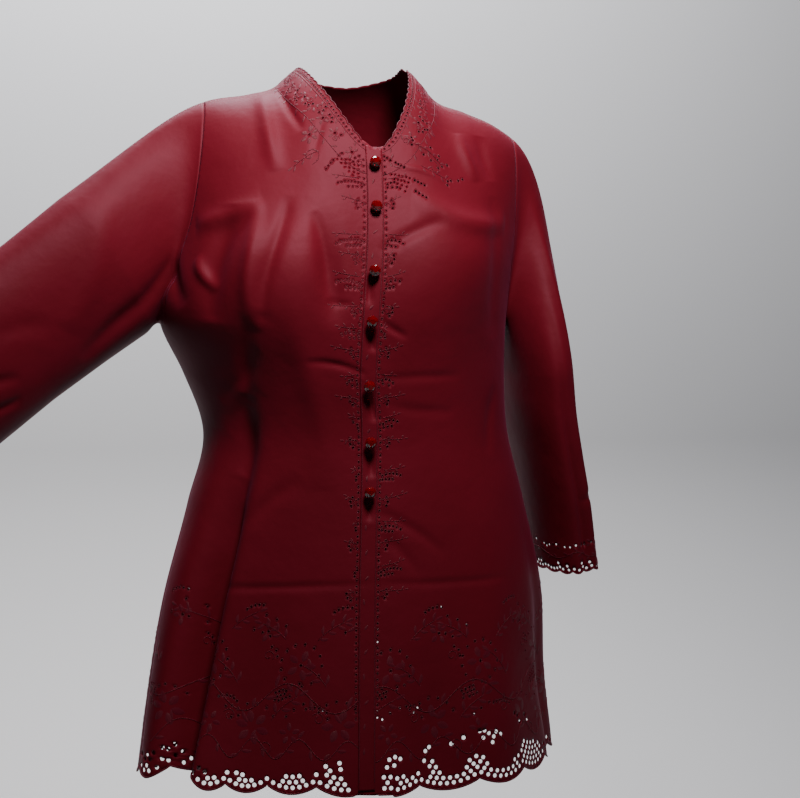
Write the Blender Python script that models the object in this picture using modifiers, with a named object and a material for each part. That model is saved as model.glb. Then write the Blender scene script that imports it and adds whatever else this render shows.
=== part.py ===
"""Kebaya blouse: two fronts, a button band, a back, two sleeves and seven glass buttons.

The blouse keeps the shape that it has when it is worn, with its right sleeve held out and its
left sleeve hanging. X runs to the wearer's left, the front faces -Y, and Z is up. The origin
lies in the middle of the neck opening, level with the highest points of the shoulders.
"""

import math

import bmesh
import bpy
import numpy as np
from mathutils import Vector

# Sizes in metres, heights measured down from the shoulders.
HEM_LEVEL = -0.727
UNDERARM_LEVEL = -0.266
CLOTH_WALL = 0.0012
BAND_WALL = 0.0010
BAND_WIDTH = 0.0175
BAND_HEM_RISE = 0.003
SEAM_GAP = 0.0003
SEAM_SETBACK = SEAM_GAP / 2
UNDERLAP_GAP = 0.0008
SCALLOP_DEPTH = 0.009
SCALLOPS_PER_FRONT = 6
COLUMNS_PER_SCALLOP = 4
NECK_COLUMNS = 8
ROWS_BELOW_ARMHOLE = (0.0, 0.024, 0.062, 0.104, 0.150, 0.198, 0.246, 0.294, 0.340, 0.382, 0.423)
ROWS_UP_ARMHOLE = (0.0, 0.10, 0.21, 0.33, 0.46, 0.59, 0.72, 0.84, 0.925, 0.98, 1.0)
FRONT_ROUNDING = 2.0
BACK_ROUNDING = 3.2
ARMHOLE_POWER = 0.7
RIDGE_POWER = 2.0
FOLD_GROWTH = 0.8
FOLD_END = 1.4
HEM_RISE_REACH = 0.16
LEVEL_STEPS = 12

# Net holes of the cutwork hem.
HOLE_SIDES = 6
HOLE_RADIUS = 0.0023
HOLE_CUT_DEPTH = 0.004
HOLES_PER_SCALLOP = 5
HOLE_PITCH_IN_COLUMNS = 0.66
HOLE_RISE = 0.0052

# Half width, middle and depths of the body at each level, and how far it is turned.
BODY_SECTIONS = {
    "level": (-0.760, -0.727, -0.650, -0.550, -0.450, -0.375, -0.315, -0.266, -0.150, 0.0),
    "half_width": (0.235, 0.231, 0.220, 0.208, 0.182, 0.164, 0.172, 0.184, 0.185, 0.190),
    "middle_x": (-0.006, -0.005, -0.004, 0.003, 0.005, 0.004, -0.008, -0.019, -0.006, 0.004),
    "middle_y": (-0.008, -0.008, -0.005, 0.0, 0.002, 0.002, 0.001, 0.0, 0.0, 0.0),
    "front_depth": (0.136, 0.134, 0.128, 0.122, 0.117, 0.115, 0.120, 0.124, 0.124, 0.124),
    "back_depth": (0.128, 0.125, 0.117, 0.108, 0.096, 0.090, 0.098, 0.108, 0.112, 0.112),
    "turn_degrees": (7.5, 7.0, 5.5, 4.0, 2.0, 1.0, 0.0, 0.0, 0.0, 0.0),
    "centre_front_x": (-0.018, -0.017, -0.014, -0.011, -0.008, -0.007, -0.010, -0.009, -0.001, 0.003),
}

# Height of the shoulder ridge across the body.
SHOULDER_RIDGE = {
    "x": (-0.240, -0.205, -0.156, -0.110, -0.084, -0.062, 0.0, 0.060, 0.082, 0.118, 0.152, 0.180, 0.215),
    "z": (-0.100, -0.064, -0.036, -0.027, -0.019, 0.0, 0.008, 0.0, -0.025, -0.039, -0.052, -0.070, -0.105),
}

# The front neckline from one shoulder to the other, as it is seen from the front.
FRONT_NECKLINE = {
    "x": (-0.061, -0.051, -0.038, -0.025, -0.011, 0.004, 0.019, 0.031, 0.042, 0.050, 0.055),
    "z": (0.0, -0.017, -0.038, -0.060, -0.080, -0.089, -0.081, -0.062, -0.040, -0.018, 0.0),
}
BACK_NECK_DROP = 0.018

# How far the hem rises above its level round the body, in degrees from the centre front.
HEM_RISE = {
    "angle": (-180.0, -120.0, -95.0, -84.0, -70.0, -55.0, -40.0, -18.0, 0.0, 40.0, 100.0, 180.0),
    "rise": (0.004, 0.006, 0.011, 0.012, 0.022, 0.010, 0.008, 0.006, 0.001, 0.001, 0.004, 0.004),
}
SHOULDER_TIP_ANGLE = {"right": 58.0, "left": 62.0}

# Soft rounds and hollows of the draped body. Angles are degrees round the body from the centre
# front, positive towards the wearer's left; spreads and heights are metres.
DRAPE = (
    # angle, level, width, rise, fall, height
    (-30.0, -0.205, 0.062, 0.060, 0.085, 0.019),
    (30.0, -0.205, 0.062, 0.060, 0.085, 0.019),
    (0.0, -0.200, 0.030, 0.070, 0.090, -0.004),
    (-40.0, -0.680, 0.080, 0.200, 0.300, -0.030),
    (33.0, -0.700, 0.040, 0.160, 0.300, 0.010),
    (12.0, -0.720, 0.030, 0.120, 0.300, -0.009),
    (150.0, -0.150, 0.060, 0.070, 0.070, 0.006),
    (-150.0, -0.150, 0.060, 0.070, 0.070, 0.006),
)

# Folds that run up and down the body: where each starts and ends, how deep it is at its deepest.
FOLDS = (
    # top_angle, top_level, low_angle, low_level, front_width, side_width, height
    (-49.0, -0.310, -69.5, -0.760, 0.012, 0.026, -0.052),
    (-34.0, -0.130, -36.0, -0.450, 0.010, 0.014, -0.007),
    (-15.0, -0.140, -8.0, -0.235, 0.009, 0.012, -0.006),
    (62.0, -0.420, 70.0, -0.760, 0.020, 0.024, -0.010),
    (140.0, -0.380, 128.0, -0.760, 0.022, 0.022, -0.018),
    (176.0, -0.430, 178.0, -0.760, 0.026, 0.026, -0.016),
    (-146.0, -0.370, -134.0, -0.760, 0.022, 0.022, -0.020),
    (-108.0, -0.440, -112.0, -0.760, 0.018, 0.022, -0.014),
)

# Sections of each sleeve below its cap: middle, half height and half depth.
SLEEVE_SECTIONS = {
    "right": {
        "x": (-0.262, -0.308, -0.354, -0.400, -0.445, -0.490),
        "y": (-0.016, -0.032, -0.048, -0.065, -0.084, -0.104),
        "z": (-0.208, -0.243, -0.279, -0.319, -0.364, -0.412),
        "half_high": (0.084, 0.081, 0.079, 0.078, 0.076, 0.074),
        "half_deep": (0.047, 0.041, 0.037, 0.035, 0.033, 0.032),
    },
    "left": {
        "x": (0.203, 0.209, 0.219, 0.230, 0.239, 0.246),
        "y": (0.012, 0.018, 0.024, 0.031, 0.038, 0.044),
        "z": (-0.312, -0.357, -0.402, -0.446, -0.488, -0.528),
        "half_high": (0.028, 0.029, 0.030, 0.032, 0.033, 0.034),
        "half_deep": (0.081, 0.080, 0.078, 0.076, 0.074, 0.073),
    },
}
SLEEVE_TOP = {"right": (0.35, 0.0, 1.0), "left": (1.0, 0.1, 0.15)}
CAP_RINGS = {"right": 7, "left": 7}
RINGS_BELOW_CAP = 8

BUTTON_LEVELS = (-0.108, -0.151, -0.213, -0.261, -0.325, -0.382, -0.432)
BUTTON_PROFILE = {
    "radius": (0.0, 0.0022, 0.0022, 0.0014, 0.0014, 0.0038, 0.0060, 0.0060, 0.0047, 0.0026, 0.0),
    "height": (0.0, 0.0, 0.0006, 0.0012, 0.0024, 0.0030, 0.0052, 0.0062, 0.0086, 0.0100, 0.0104),
}
BUTTON_SIDES = 10
BUTTON_SEAT_GAP = 0.0004

SILK_MAROON = (0.135, 0.010, 0.016, 1.0)
GLASS_RED = (0.420, 0.006, 0.012, 1.0)


def clear_scene():
    for item in list(bpy.data.objects):
        bpy.data.objects.remove(item, do_unlink=True)


def new_collection(name):
    group = bpy.data.collections.new(name)
    bpy.context.scene.collection.children.link(group)
    return group


def new_material(name, colour, roughness, metallic):
    material = bpy.data.materials.new(name)
    material.use_nodes = True
    shader = material.node_tree.nodes["Principled BSDF"]
    shader.inputs["Base Color"].default_value = colour
    shader.inputs["Roughness"].default_value = roughness
    shader.inputs["Metallic"].default_value = metallic
    return material


def smooth_curve(stations, values, at):
    """Reads a smooth curve through the given values, with a continuous slope."""
    stations = np.asarray(stations, float)
    values = np.asarray(values, float)
    at = np.clip(np.asarray(at, float), stations[0], stations[-1])
    slopes = np.gradient(values, stations)
    index = np.clip(np.searchsorted(stations, at) - 1, 0, len(stations) - 2)
    span = stations[index + 1] - stations[index]
    t = (at - stations[index]) / span
    start = (2 * t**3 - 3 * t**2 + 1) * values[index]
    start = start + (t**3 - 2 * t**2 + t) * span * slopes[index]
    end = (3 * t**2 - 2 * t**3) * values[index + 1]
    return start + end + (t**3 - t**2) * span * slopes[index + 1]


def section_value(name, level):
    return smooth_curve(BODY_SECTIONS["level"], BODY_SECTIONS[name], level)


def smooth_step(low, high, value):
    t = np.clip((value - low) / (high - low), 0.0, 1.0)
    return t * t * (3 - 2 * t)


def unit(vectors):
    return vectors / np.linalg.norm(vectors, axis=-1, keepdims=True)


def bare_body(angle, level):
    """The body before folds: ellipses that close to the shoulder ridge at level 0."""
    angle = np.asarray(angle, float)
    level = np.asarray(level, float)
    share = np.clip(1 - level / UNDERARM_LEVEL, 0.0, 1.0)
    front = section_value("front_depth", level) * np.sqrt(1 - share**FRONT_ROUNDING)
    back = section_value("back_depth", level) * np.sqrt(1 - share**BACK_ROUNDING)
    depth = np.where(np.cos(angle) >= 0, front, back)
    x = section_value("half_width", level) * np.sin(angle)
    y = section_value("middle_y", level) * (1 - share) - depth * np.cos(angle)
    turn = np.radians(section_value("turn_degrees", level))
    turned_x = x * np.cos(turn) - y * np.sin(turn) + section_value("middle_x", level)
    turned_y = x * np.sin(turn) + y * np.cos(turn)
    ridge = smooth_curve(SHOULDER_RIDGE["x"], SHOULDER_RIDGE["z"], turned_x)
    return np.stack([turned_x, turned_y, level + ridge * share**RIDGE_POWER], axis=-1)


def outward(surface, angle, level, step=0.002):
    """Outward normal of a surface of angle and level, from its own differences."""
    along = surface(angle + step, level) - surface(angle - step, level)
    high = np.minimum(level + step * 0.25, -0.00002)
    low = high - step * 0.5
    up = surface(angle, high) - surface(angle, low)
    return unit(np.cross(along, up))


def around(angle, centre_degrees):
    """Signed angle from a centre, in radians, by the short way round."""
    gap = angle - np.radians(centre_degrees)
    return np.arctan2(np.sin(gap), np.cos(gap))


def drape_height(angle, level):
    """How far the cloth stands out from the bare body: rounds, hollows and long folds."""
    girth = 0.5 * (section_value("half_width", level) + section_value("front_depth", level))
    total = np.zeros(np.broadcast(angle, level).shape)
    for centre, middle, width, rise, fall, height in DRAPE:
        sideways = around(angle, centre) * girth / width
        reach = np.where(level > middle, rise, fall)
        total = total + height * np.exp(-(sideways**2) - ((level - middle) / reach) ** 2)
    for top_angle, top, low_angle, low, front_width, side_width, height in FOLDS:
        reach = (level - top) / (low - top)
        run = np.clip(reach, 0.0, 1.0)
        centre = top_angle + (low_angle - top_angle) * run
        sideways = around(angle, centre) * girth
        towards_front = np.abs(np.degrees(angle)) < np.abs(centre)
        width = np.where(towards_front, front_width, side_width)
        depth = height * smooth_step(0.0, FOLD_GROWTH, run) * (1 - smooth_step(1.0, FOLD_END, reach))
        total = total + depth * np.exp(-((sideways / width) ** 2))
    return total


def draped_body(angle, level):
    angle, level = np.broadcast_arrays(np.asarray(angle, float), np.asarray(level, float))
    lift = drape_height(angle, level)[..., None]
    return bare_body(angle, level) + outward(bare_body, angle, level) * lift


def angle_at_x(x, level):
    """Angle round the front of the body at a place across it."""
    middle = section_value("middle_x", level)
    turn = np.radians(section_value("turn_degrees", level))
    share = np.clip(1 - level / UNDERARM_LEVEL, 0.0, 1.0)
    depth = section_value("front_depth", level) * np.sqrt(1 - share**FRONT_ROUNDING)
    across = (x - middle - depth * np.sin(turn)) / section_value("half_width", level)
    return np.arcsin(np.clip(across / np.cos(turn), -1.0, 1.0))


def neckline_in_levels(side):
    """Angles and levels of one side's neckline, from the front edge to the shoulder.

    The share at which it comes out from under the button band is returned first.
    """
    sign = -1.0 if side == "right" else 1.0
    middle = float(section_value("centre_front_x", -0.09))
    edge = middle - sign * BAND_WIDTH / 2
    fine_x = np.linspace(edge, FRONT_NECKLINE["x"][0 if sign < 0 else -1], 400)
    fine_z = smooth_curve(FRONT_NECKLINE["x"], FRONT_NECKLINE["z"], fine_x)
    ridge = smooth_curve(SHOULDER_RIDGE["x"], SHOULDER_RIDGE["z"], fine_x)
    level = fine_z - ridge
    for _ in range(LEVEL_STEPS):
        level = np.minimum(fine_z - ridge * (1 - level / UNDERARM_LEVEL) ** RIDGE_POWER, 0.0)
    length = np.concatenate([[0.0], np.cumsum(np.hypot(np.diff(fine_x), np.diff(fine_z)))])
    share = length / length[-1]
    band_share = float(np.interp(BAND_WIDTH, np.abs(fine_x - edge), share))
    return band_share, share, angle_at_x(fine_x, level) * sign, level


def back_neckline_in_levels(side):
    """The same for half of the back neckline, from the centre back out to the shoulder."""
    share = np.linspace(0.0, 1.0, 200)
    edge = abs(angle_at_x(FRONT_NECKLINE["x"][0 if side == "right" else -1], 0.0))
    drop = BACK_NECK_DROP * np.sqrt(np.clip(1 - share**2.4, 0.0, 1.0))
    return 1 / NECK_COLUMNS, share, share * edge, -drop


def front_edge_angle(side, level, offset):
    """Angle of a line that runs beside the centre front, away from it towards this side."""
    sign = -1.0 if side == "right" else 1.0
    return sign * angle_at_x(section_value("centre_front_x", level) + sign * offset, level)


def panel_grid(side, face):
    """Angles and levels of a panel's grid, columns from the centre outwards, rows upwards.

    On a front, the first two columns are the edges of the overlap behind the button band.
    """
    sign = -1.0 if side == "right" else 1.0
    count = SCALLOPS_PER_FRONT * COLUMNS_PER_SCALLOP
    tip = math.radians(SHOULDER_TIP_ANGLE[side])
    neckline = neckline_in_levels if face == "front" else back_neckline_in_levels
    first_share, share, neck_angle, neck_level = neckline(side)
    at_neck = np.concatenate([[0.0], np.linspace(first_share, 1.0, NECK_COLUMNS)])
    top_angle = np.interp(at_neck, share, neck_angle)
    top_level = np.interp(at_neck, share, neck_level)
    shoulder = np.arange(1, count - NECK_COLUMNS + 1) / (count - NECK_COLUMNS)
    top_angle = np.concatenate([top_angle, top_angle[-1] + (tip - top_angle[-1]) * shoulder])
    top_share = np.concatenate([1 - top_level / UNDERARM_LEVEL, np.ones(len(shoulder))])

    rows_up = np.array(ROWS_UP_ARMHOLE)
    climb = np.sin(rows_up * math.pi / 2) ** 2
    up_levels = UNDERARM_LEVEL * (1 - climb[:, None] * top_share[None, :])
    edge_up = math.pi / 2 - (math.pi / 2 - tip) * np.sin(rows_up * math.pi / 2) ** ARMHOLE_POWER
    low_levels = HEM_LEVEL + np.array(ROWS_BELOW_ARMHOLE)
    levels = np.concatenate([np.repeat(low_levels[:, None], count + 1, axis=1), up_levels])
    outer = np.concatenate([np.full(len(low_levels), math.pi / 2), edge_up])

    u = np.arange(count + 1) / count
    if face == "front":
        first = front_edge_angle(side, levels[:, 1], BAND_WIDTH / 2)
        u = np.maximum((np.arange(count + 1) - 1) / (count - 1), 0.0)
    else:
        first = np.zeros(len(levels))
    blend = np.concatenate([np.zeros(len(low_levels)), rows_up**2])[:, None]
    spread_top = (top_angle - first[-1]) / (tip - first[-1])
    spread = u[None, :] + blend * (spread_top - u)[None, :]
    angles = first[:, None] + (outer - first)[:, None] * spread
    if face == "front":
        angles[:, 0] = front_edge_angle(side, levels[:, 0], -BAND_WIDTH / 2)
    angles = angles * sign
    if face == "back":
        angles = sign * math.pi - angles
    turned = np.degrees(np.arctan2(np.sin(angles[0]), np.cos(angles[0])))
    rise = smooth_curve(HEM_RISE["angle"], HEM_RISE["rise"], turned)
    scallop = np.abs(np.sin(math.pi * np.arange(count + 1) / COLUMNS_PER_SCALLOP)) ** 0.8
    fade = np.clip(1 - np.array(ROWS_BELOW_ARMHOLE) / HEM_RISE_REACH, 0.0, 1.0)[:, None]
    levels[: len(low_levels)] += fade * rise[None, :]
    levels[0] -= SCALLOP_DEPTH * scallop
    return angles, levels


def set_back_edges(points, first, last, top):
    """Draws the chosen edges of a grid back by half a seam gap."""
    points = points.copy()
    if first:
        points[:, 0] += unit(points[:, 1] - points[:, 0]) * SEAM_SETBACK
    if last:
        points[:, -1] += unit(points[:, -2] - points[:, -1]) * SEAM_SETBACK
    if top is not None:
        points[-1, top] += unit(points[-2, top] - points[-1, top]) * SEAM_SETBACK
    return points


def grid_faces(rows, columns, closed, flip):
    """Quads of a grid, row by row, which may close on itself along the columns."""
    faces = []
    across = columns if closed else columns - 1
    for row in range(rows - 1):
        for column in range(across):
            beside = (column + 1) % columns
            low = (row * columns + column, row * columns + beside)
            high = ((row + 1) * columns + beside, (row + 1) * columns + column)
            face = low + high
            faces.append(face[::-1] if flip else face)
    return faces


def cloth_object(name, points, closed, flip, wall, outwards, material, group):
    """A grid of points made a smooth open surface, which Solidify makes a wall."""
    rows, columns = points.shape[:2]
    mesh = bpy.data.meshes.new(name)
    mesh.from_pydata(points.reshape(-1, 3).tolist(), [], grid_faces(rows, columns, closed, flip))
    mesh.shade_smooth()
    mesh.materials.append(material)
    item = bpy.data.objects.new(name, mesh)
    group.objects.link(item)
    solid = item.modifiers.new("wall", "SOLIDIFY")
    solid.thickness = wall
    solid.offset = 1.0 if outwards else -1.0
    return item


def under_front(points, angles, levels):
    """Takes the left front's edge in behind the right front's by one wall and a gap."""
    inwards = outward(draped_body, angles[:, :2], levels[:, :2]) * (CLOTH_WALL + UNDERLAP_GAP)
    points = points.copy()
    points[:, :2] -= inwards
    return points


def make_front(side, material, group):
    angles, levels = panel_grid(side, "front")
    points = draped_body(angles, levels)
    if side == "left":
        points = under_front(points, angles, levels)
    points = set_back_edges(points, False, True, slice(NECK_COLUMNS, None))
    flip = side == "right"
    name = "front_" + side
    return cloth_object(name, points, False, flip, CLOTH_WALL, False, material, group)


def make_back(material, group):
    right_angles, right_levels = panel_grid("right", "back")
    left_angles, left_levels = panel_grid("left", "back")
    angles = np.concatenate([right_angles[:, :0:-1] + 2 * math.pi, left_angles], axis=1)
    levels = np.concatenate([right_levels[:, :0:-1], left_levels], axis=1)
    points = draped_body(angles, levels)
    points = set_back_edges(points, True, True, None)
    count = left_angles.shape[1] - 1
    points = set_back_edges(points, False, False, slice(0, count - NECK_COLUMNS + 1))
    points = set_back_edges(points, False, False, slice(count + NECK_COLUMNS, None))
    return cloth_object("back", points, False, True, CLOTH_WALL, False, material, group)


def band_grid():
    """Points of the band's underside, on the right front's own edge columns, and its normals."""
    angles, levels = panel_grid("right", "front")
    edges = levels[:, 1::-1].copy()
    edges[0] = edges[0].max() + BAND_HEM_RISE
    places = np.array([-0.5, 0.5]) * (BAND_WIDTH - 2 * SEAM_GAP)
    angles = angle_at_x(section_value("centre_front_x", edges) + places, edges)
    normals = outward(draped_body, angles, edges)
    points = draped_body(angles, edges) + normals * SEAM_GAP
    normals = np.insert(normals, 1, unit(normals.mean(axis=1)), axis=1)
    return np.insert(points, 1, points.mean(axis=1), axis=1), normals


def make_band(material, group):
    """The button band lies on the right front's edge, lifted by a seam gap."""
    points = band_grid()[0]
    return cloth_object("placket_band", points, False, False, BAND_WALL, True, material, group)


def armhole_loop(side):
    """Points of the armhole from the shoulder tip down the front and up the back."""
    front_angles, front_levels = panel_grid(side, "front")
    back_angles, back_levels = panel_grid(side, "back")
    rows = len(ROWS_UP_ARMHOLE)
    angles = np.concatenate([front_angles[-rows:, -1][::-1], back_angles[-rows:, -1][1:-1]])
    levels = np.concatenate([front_levels[-rows:, -1][::-1], back_levels[-rows:, -1][1:-1]])
    return draped_body(angles, levels), outward(draped_body, angles, levels)


def ring_directions(middles, top):
    """Axis, top and front directions of a sleeve at each of its middles."""
    axis = unit(np.gradient(middles, axis=0))
    upward = np.broadcast_to(np.asarray(top, float), axis.shape)
    upward = unit(upward - axis * np.sum(upward * axis, axis=1, keepdims=True))
    return axis, upward, np.cross(axis, upward)


def sleeve_points(side):
    """Rings of a sleeve: the armhole, a cap that turns into the arm's direction, and the arm."""
    loop, normals = armhole_loop(side)
    tangent = unit(np.roll(loop, -1, axis=0) - np.roll(loop, 1, axis=0))
    away = unit(np.cross(tangent, normals))
    table = SLEEVE_SECTIONS[side]
    middles = np.stack([table["x"], table["y"], table["z"]], axis=1)
    if np.sum(away[0] * (middles[-1] - middles[0])) < 0:
        away = -away
    stations = np.arange(len(middles), dtype=float)
    at = np.linspace(0.0, stations[-1], RINGS_BELOW_CAP + 1)
    fine = np.stack([smooth_curve(stations, middles[:, axis], at) for axis in range(3)], axis=1)
    high = smooth_curve(stations, table["half_high"], at)
    deep = smooth_curve(stations, table["half_deep"], at)
    axis, upward, forward = ring_directions(fine, SLEEVE_TOP[side])
    facing = np.where(forward[:, 1:2] > 0, -forward, forward)
    lengths = np.linalg.norm(np.roll(loop, -1, axis=0) - loop, axis=1)
    turn = np.concatenate([[0.0], np.cumsum(lengths)[:-1]]) / lengths.sum() * 2 * math.pi
    rings = fine[:, None] + upward[:, None] * high[:, None, None] * np.cos(turn)[None, :, None]
    rings = rings + facing[:, None] * deep[:, None, None] * np.sin(turn)[None, :, None]
    start = loop + away * SEAM_GAP
    reach = np.linalg.norm(rings[0] - start, axis=1, keepdims=True)
    cap = []
    for step in range(CAP_RINGS[side]):
        t = step / CAP_RINGS[side]
        ring = (2 * t**3 - 3 * t**2 + 1) * start + (t**3 - 2 * t**2 + t) * away * reach * 0.7
        ring = ring + (3 * t**2 - 2 * t**3) * rings[0] + (t**3 - t**2) * axis[0] * reach * 1.1
        cap.append(ring)
    return np.concatenate([np.array(cap), rings])


def make_sleeve(side, material, group):
    points = sleeve_points(side)
    name = "sleeve_" + side
    flip = side == "right"
    return cloth_object(name, points, True, flip, CLOTH_WALL, False, material, group)


def hole_centres(side, face):
    """Angles and levels of the net holes of one panel, which follow each scallop's edge."""
    angles, levels = panel_grid(side, face)
    columns = np.arange(angles.shape[1], dtype=float)
    middle = COLUMNS_PER_SCALLOP / 2
    found = []
    for scallop in range(SCALLOPS_PER_FRONT):
        for step in range(HOLES_PER_SCALLOP):
            offset = (step - (HOLES_PER_SCALLOP - 1) / 2) * HOLE_PITCH_IN_COLUMNS
            place = scallop * COLUMNS_PER_SCALLOP + middle + offset
            angle = np.interp(place, columns, angles[0])
            found.append((angle, np.interp(place, columns, levels[0]) + HOLE_RISE))
    return found


def cut_holes(panel, places, cutters):
    """Cuts the panel's net holes with one cutter that holds a small prism for each."""
    shape = bmesh.new()
    for angle, level in places:
        centre = draped_body(angle, level)
        direction = outward(draped_body, angle, level)
        turn = Vector(direction).to_track_quat("Z", "Y").to_matrix().to_4x4()
        turn.translation = Vector(centre)
        bmesh.ops.create_cone(
            shape, cap_ends=True, segments=HOLE_SIDES, radius1=HOLE_RADIUS,
            radius2=HOLE_RADIUS, depth=2 * HOLE_CUT_DEPTH, matrix=turn,
        )
    mesh = bpy.data.meshes.new(panel.name + "_holes")
    shape.to_mesh(mesh)
    shape.free()
    cutter = bpy.data.objects.new(panel.name + "_holes", mesh)
    cutters.objects.link(cutter)
    cutter.hide_render = True
    cutter.display_type = "WIRE"
    cut = panel.modifiers.new("net holes", "BOOLEAN")
    cut.operation = "DIFFERENCE"
    cut.solver = "EXACT"
    cut.object = cutter


def make_button(number, level, material, group):
    """A turned glass button whose foot stands on the band."""
    under, normals = band_grid()
    levels = panel_grid("right", "front")[1][:, 0]
    place = np.array([np.interp(level, levels, under[:, 1, axis]) for axis in range(3)])
    direction = unit(np.array([np.interp(level, levels, normals[:, 1, axis]) for axis in range(3)]))
    seat = place + direction * (BAND_WALL + BUTTON_SEAT_GAP)
    mesh = bpy.data.meshes.new("button_%d" % number)
    profile = list(zip(BUTTON_PROFILE["radius"], BUTTON_PROFILE["height"]))[::-1]
    points = [(radius, 0.0, height) for radius, height in profile]
    mesh.from_pydata(points, [(i, i + 1) for i in range(len(points) - 1)], [])
    mesh.materials.append(material)
    item = bpy.data.objects.new("button_%d" % number, mesh)
    group.objects.link(item)
    item.location = seat
    item.rotation_euler = Vector(direction).to_track_quat("Z", "Y").to_euler()
    screw = item.modifiers.new("turned", "SCREW")
    screw.steps = BUTTON_SIDES
    screw.render_steps = BUTTON_SIDES
    screw.use_merge_vertices = True
    screw.merge_threshold = 0.00005
    return item


def build():
    clear_scene()
    parts = new_collection("kebaya_blouse")
    cutters = new_collection("cutters")
    silk = new_material("maroon_silk", SILK_MAROON, 0.5, 0.0)
    glass = new_material("red_glass", GLASS_RED, 0.08, 0.0)
    fronts = {side: make_front(side, silk, parts) for side in ("right", "left")}
    back = make_back(silk, parts)
    make_band(silk, parts)
    for side in ("right", "left"):
        make_sleeve(side, silk, parts)
        cut_holes(fronts[side], hole_centres(side, "front"), cutters)
    cut_holes(back, hole_centres("right", "back") + hole_centres("left", "back"), cutters)
    for number, level in enumerate(BUTTON_LEVELS, start=1):
        make_button(number, level, glass, parts)


build()
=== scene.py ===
import math

import bpy
import numpy as np
from mathutils import Matrix
from mathutils.geometry import delaunay_2d_cdt


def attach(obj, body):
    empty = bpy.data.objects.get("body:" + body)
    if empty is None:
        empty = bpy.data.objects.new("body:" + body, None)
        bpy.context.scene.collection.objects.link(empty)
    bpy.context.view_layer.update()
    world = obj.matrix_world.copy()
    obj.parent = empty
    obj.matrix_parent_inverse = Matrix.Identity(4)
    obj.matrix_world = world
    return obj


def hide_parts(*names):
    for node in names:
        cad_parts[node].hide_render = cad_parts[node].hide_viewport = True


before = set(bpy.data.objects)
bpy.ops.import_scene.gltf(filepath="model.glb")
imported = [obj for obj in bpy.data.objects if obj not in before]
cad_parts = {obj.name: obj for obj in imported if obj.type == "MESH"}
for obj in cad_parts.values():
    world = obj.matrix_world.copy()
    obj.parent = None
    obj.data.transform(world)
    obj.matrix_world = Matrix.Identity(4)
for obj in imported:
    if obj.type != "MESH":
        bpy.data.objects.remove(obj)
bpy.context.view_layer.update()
print("frame loaded with", len(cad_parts), "solids")

# Kebaya blouse in maroon crepe, worn and hollow. Metres; X runs to the wearer's left, the front
# faces -Y, heights run down from the shoulders, and angles run round the body from the centre front.
blouse = {
    "hemLevel": -0.727,
    "underarmLevel": -0.266,
    "frontRounding": 2.0,
    "backRounding": 3.2,
    "ridgePower": 2.0,
    "foldGrowth": 0.8,
    "foldEnd": 1.4,
    "clothWall": 0.0007,
    "meshStep": 0.0033,
    "edgeStep": 0.0024,
    "topReach": 0.40,
    "arcLevel": -0.55,
}

bodySections = {
    "level": (-0.760, -0.727, -0.650, -0.550, -0.450, -0.375, -0.315, -0.266, -0.150, 0.0),
    "halfWidth": (0.235, 0.231, 0.220, 0.208, 0.182, 0.164, 0.172, 0.184, 0.185, 0.190),
    "middleX": (-0.006, -0.005, -0.004, 0.003, 0.005, 0.004, -0.008, -0.019, -0.006, 0.004),
    "middleY": (-0.008, -0.008, -0.005, 0.0, 0.002, 0.002, 0.001, 0.0, 0.0, 0.0),
    "frontDepth": (0.136, 0.134, 0.128, 0.122, 0.117, 0.115, 0.120, 0.124, 0.124, 0.124),
    "backDepth": (0.128, 0.125, 0.117, 0.108, 0.096, 0.090, 0.098, 0.108, 0.112, 0.112),
    "turnDegrees": (7.5, 7.0, 5.5, 4.0, 2.0, 1.0, 0.0, 0.0, 0.0, 0.0),
    "centreFrontX": (-0.018, -0.017, -0.014, -0.011, -0.008, -0.007, -0.010, -0.009, -0.001, 0.003),
}

shoulderRidge = {
    "x": (-0.240, -0.205, -0.156, -0.110, -0.084, -0.062, 0.0, 0.060, 0.082, 0.118, 0.152, 0.180, 0.215),
    "z": (-0.100, -0.064, -0.036, -0.027, -0.019, 0.0, 0.008, 0.0, -0.025, -0.039, -0.052, -0.070, -0.105),
}

# Soft rounds and hollows: angle, level, width, rise, fall, height.
drapeRounds = (
    (-30.0, -0.205, 0.062, 0.060, 0.085, 0.019),
    (30.0, -0.205, 0.062, 0.060, 0.085, 0.019),
    (0.0, -0.200, 0.030, 0.070, 0.090, -0.004),
    (-40.0, -0.680, 0.080, 0.200, 0.300, -0.030),
    (33.0, -0.700, 0.040, 0.160, 0.300, 0.010),
    (12.0, -0.720, 0.030, 0.120, 0.300, -0.009),
    (150.0, -0.150, 0.060, 0.070, 0.070, 0.006),
    (-150.0, -0.150, 0.060, 0.070, 0.070, 0.006),
)

# Long folds: top angle, top level, low angle, low level, width to the front, to the side, height.
longFolds = (
    (-49.0, -0.310, -69.5, -0.760, 0.012, 0.026, -0.056),
    (-15.0, -0.140, -8.0, -0.235, 0.009, 0.012, -0.006),
    (62.0, -0.420, 70.0, -0.760, 0.020, 0.024, -0.010),
    (140.0, -0.380, 128.0, -0.760, 0.022, 0.022, -0.018),
    (176.0, -0.430, 178.0, -0.760, 0.026, 0.026, -0.016),
    (-146.0, -0.370, -134.0, -0.760, 0.022, 0.022, -0.020),
    (-108.0, -0.440, -112.0, -0.760, 0.018, 0.022, -0.014),
)

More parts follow.
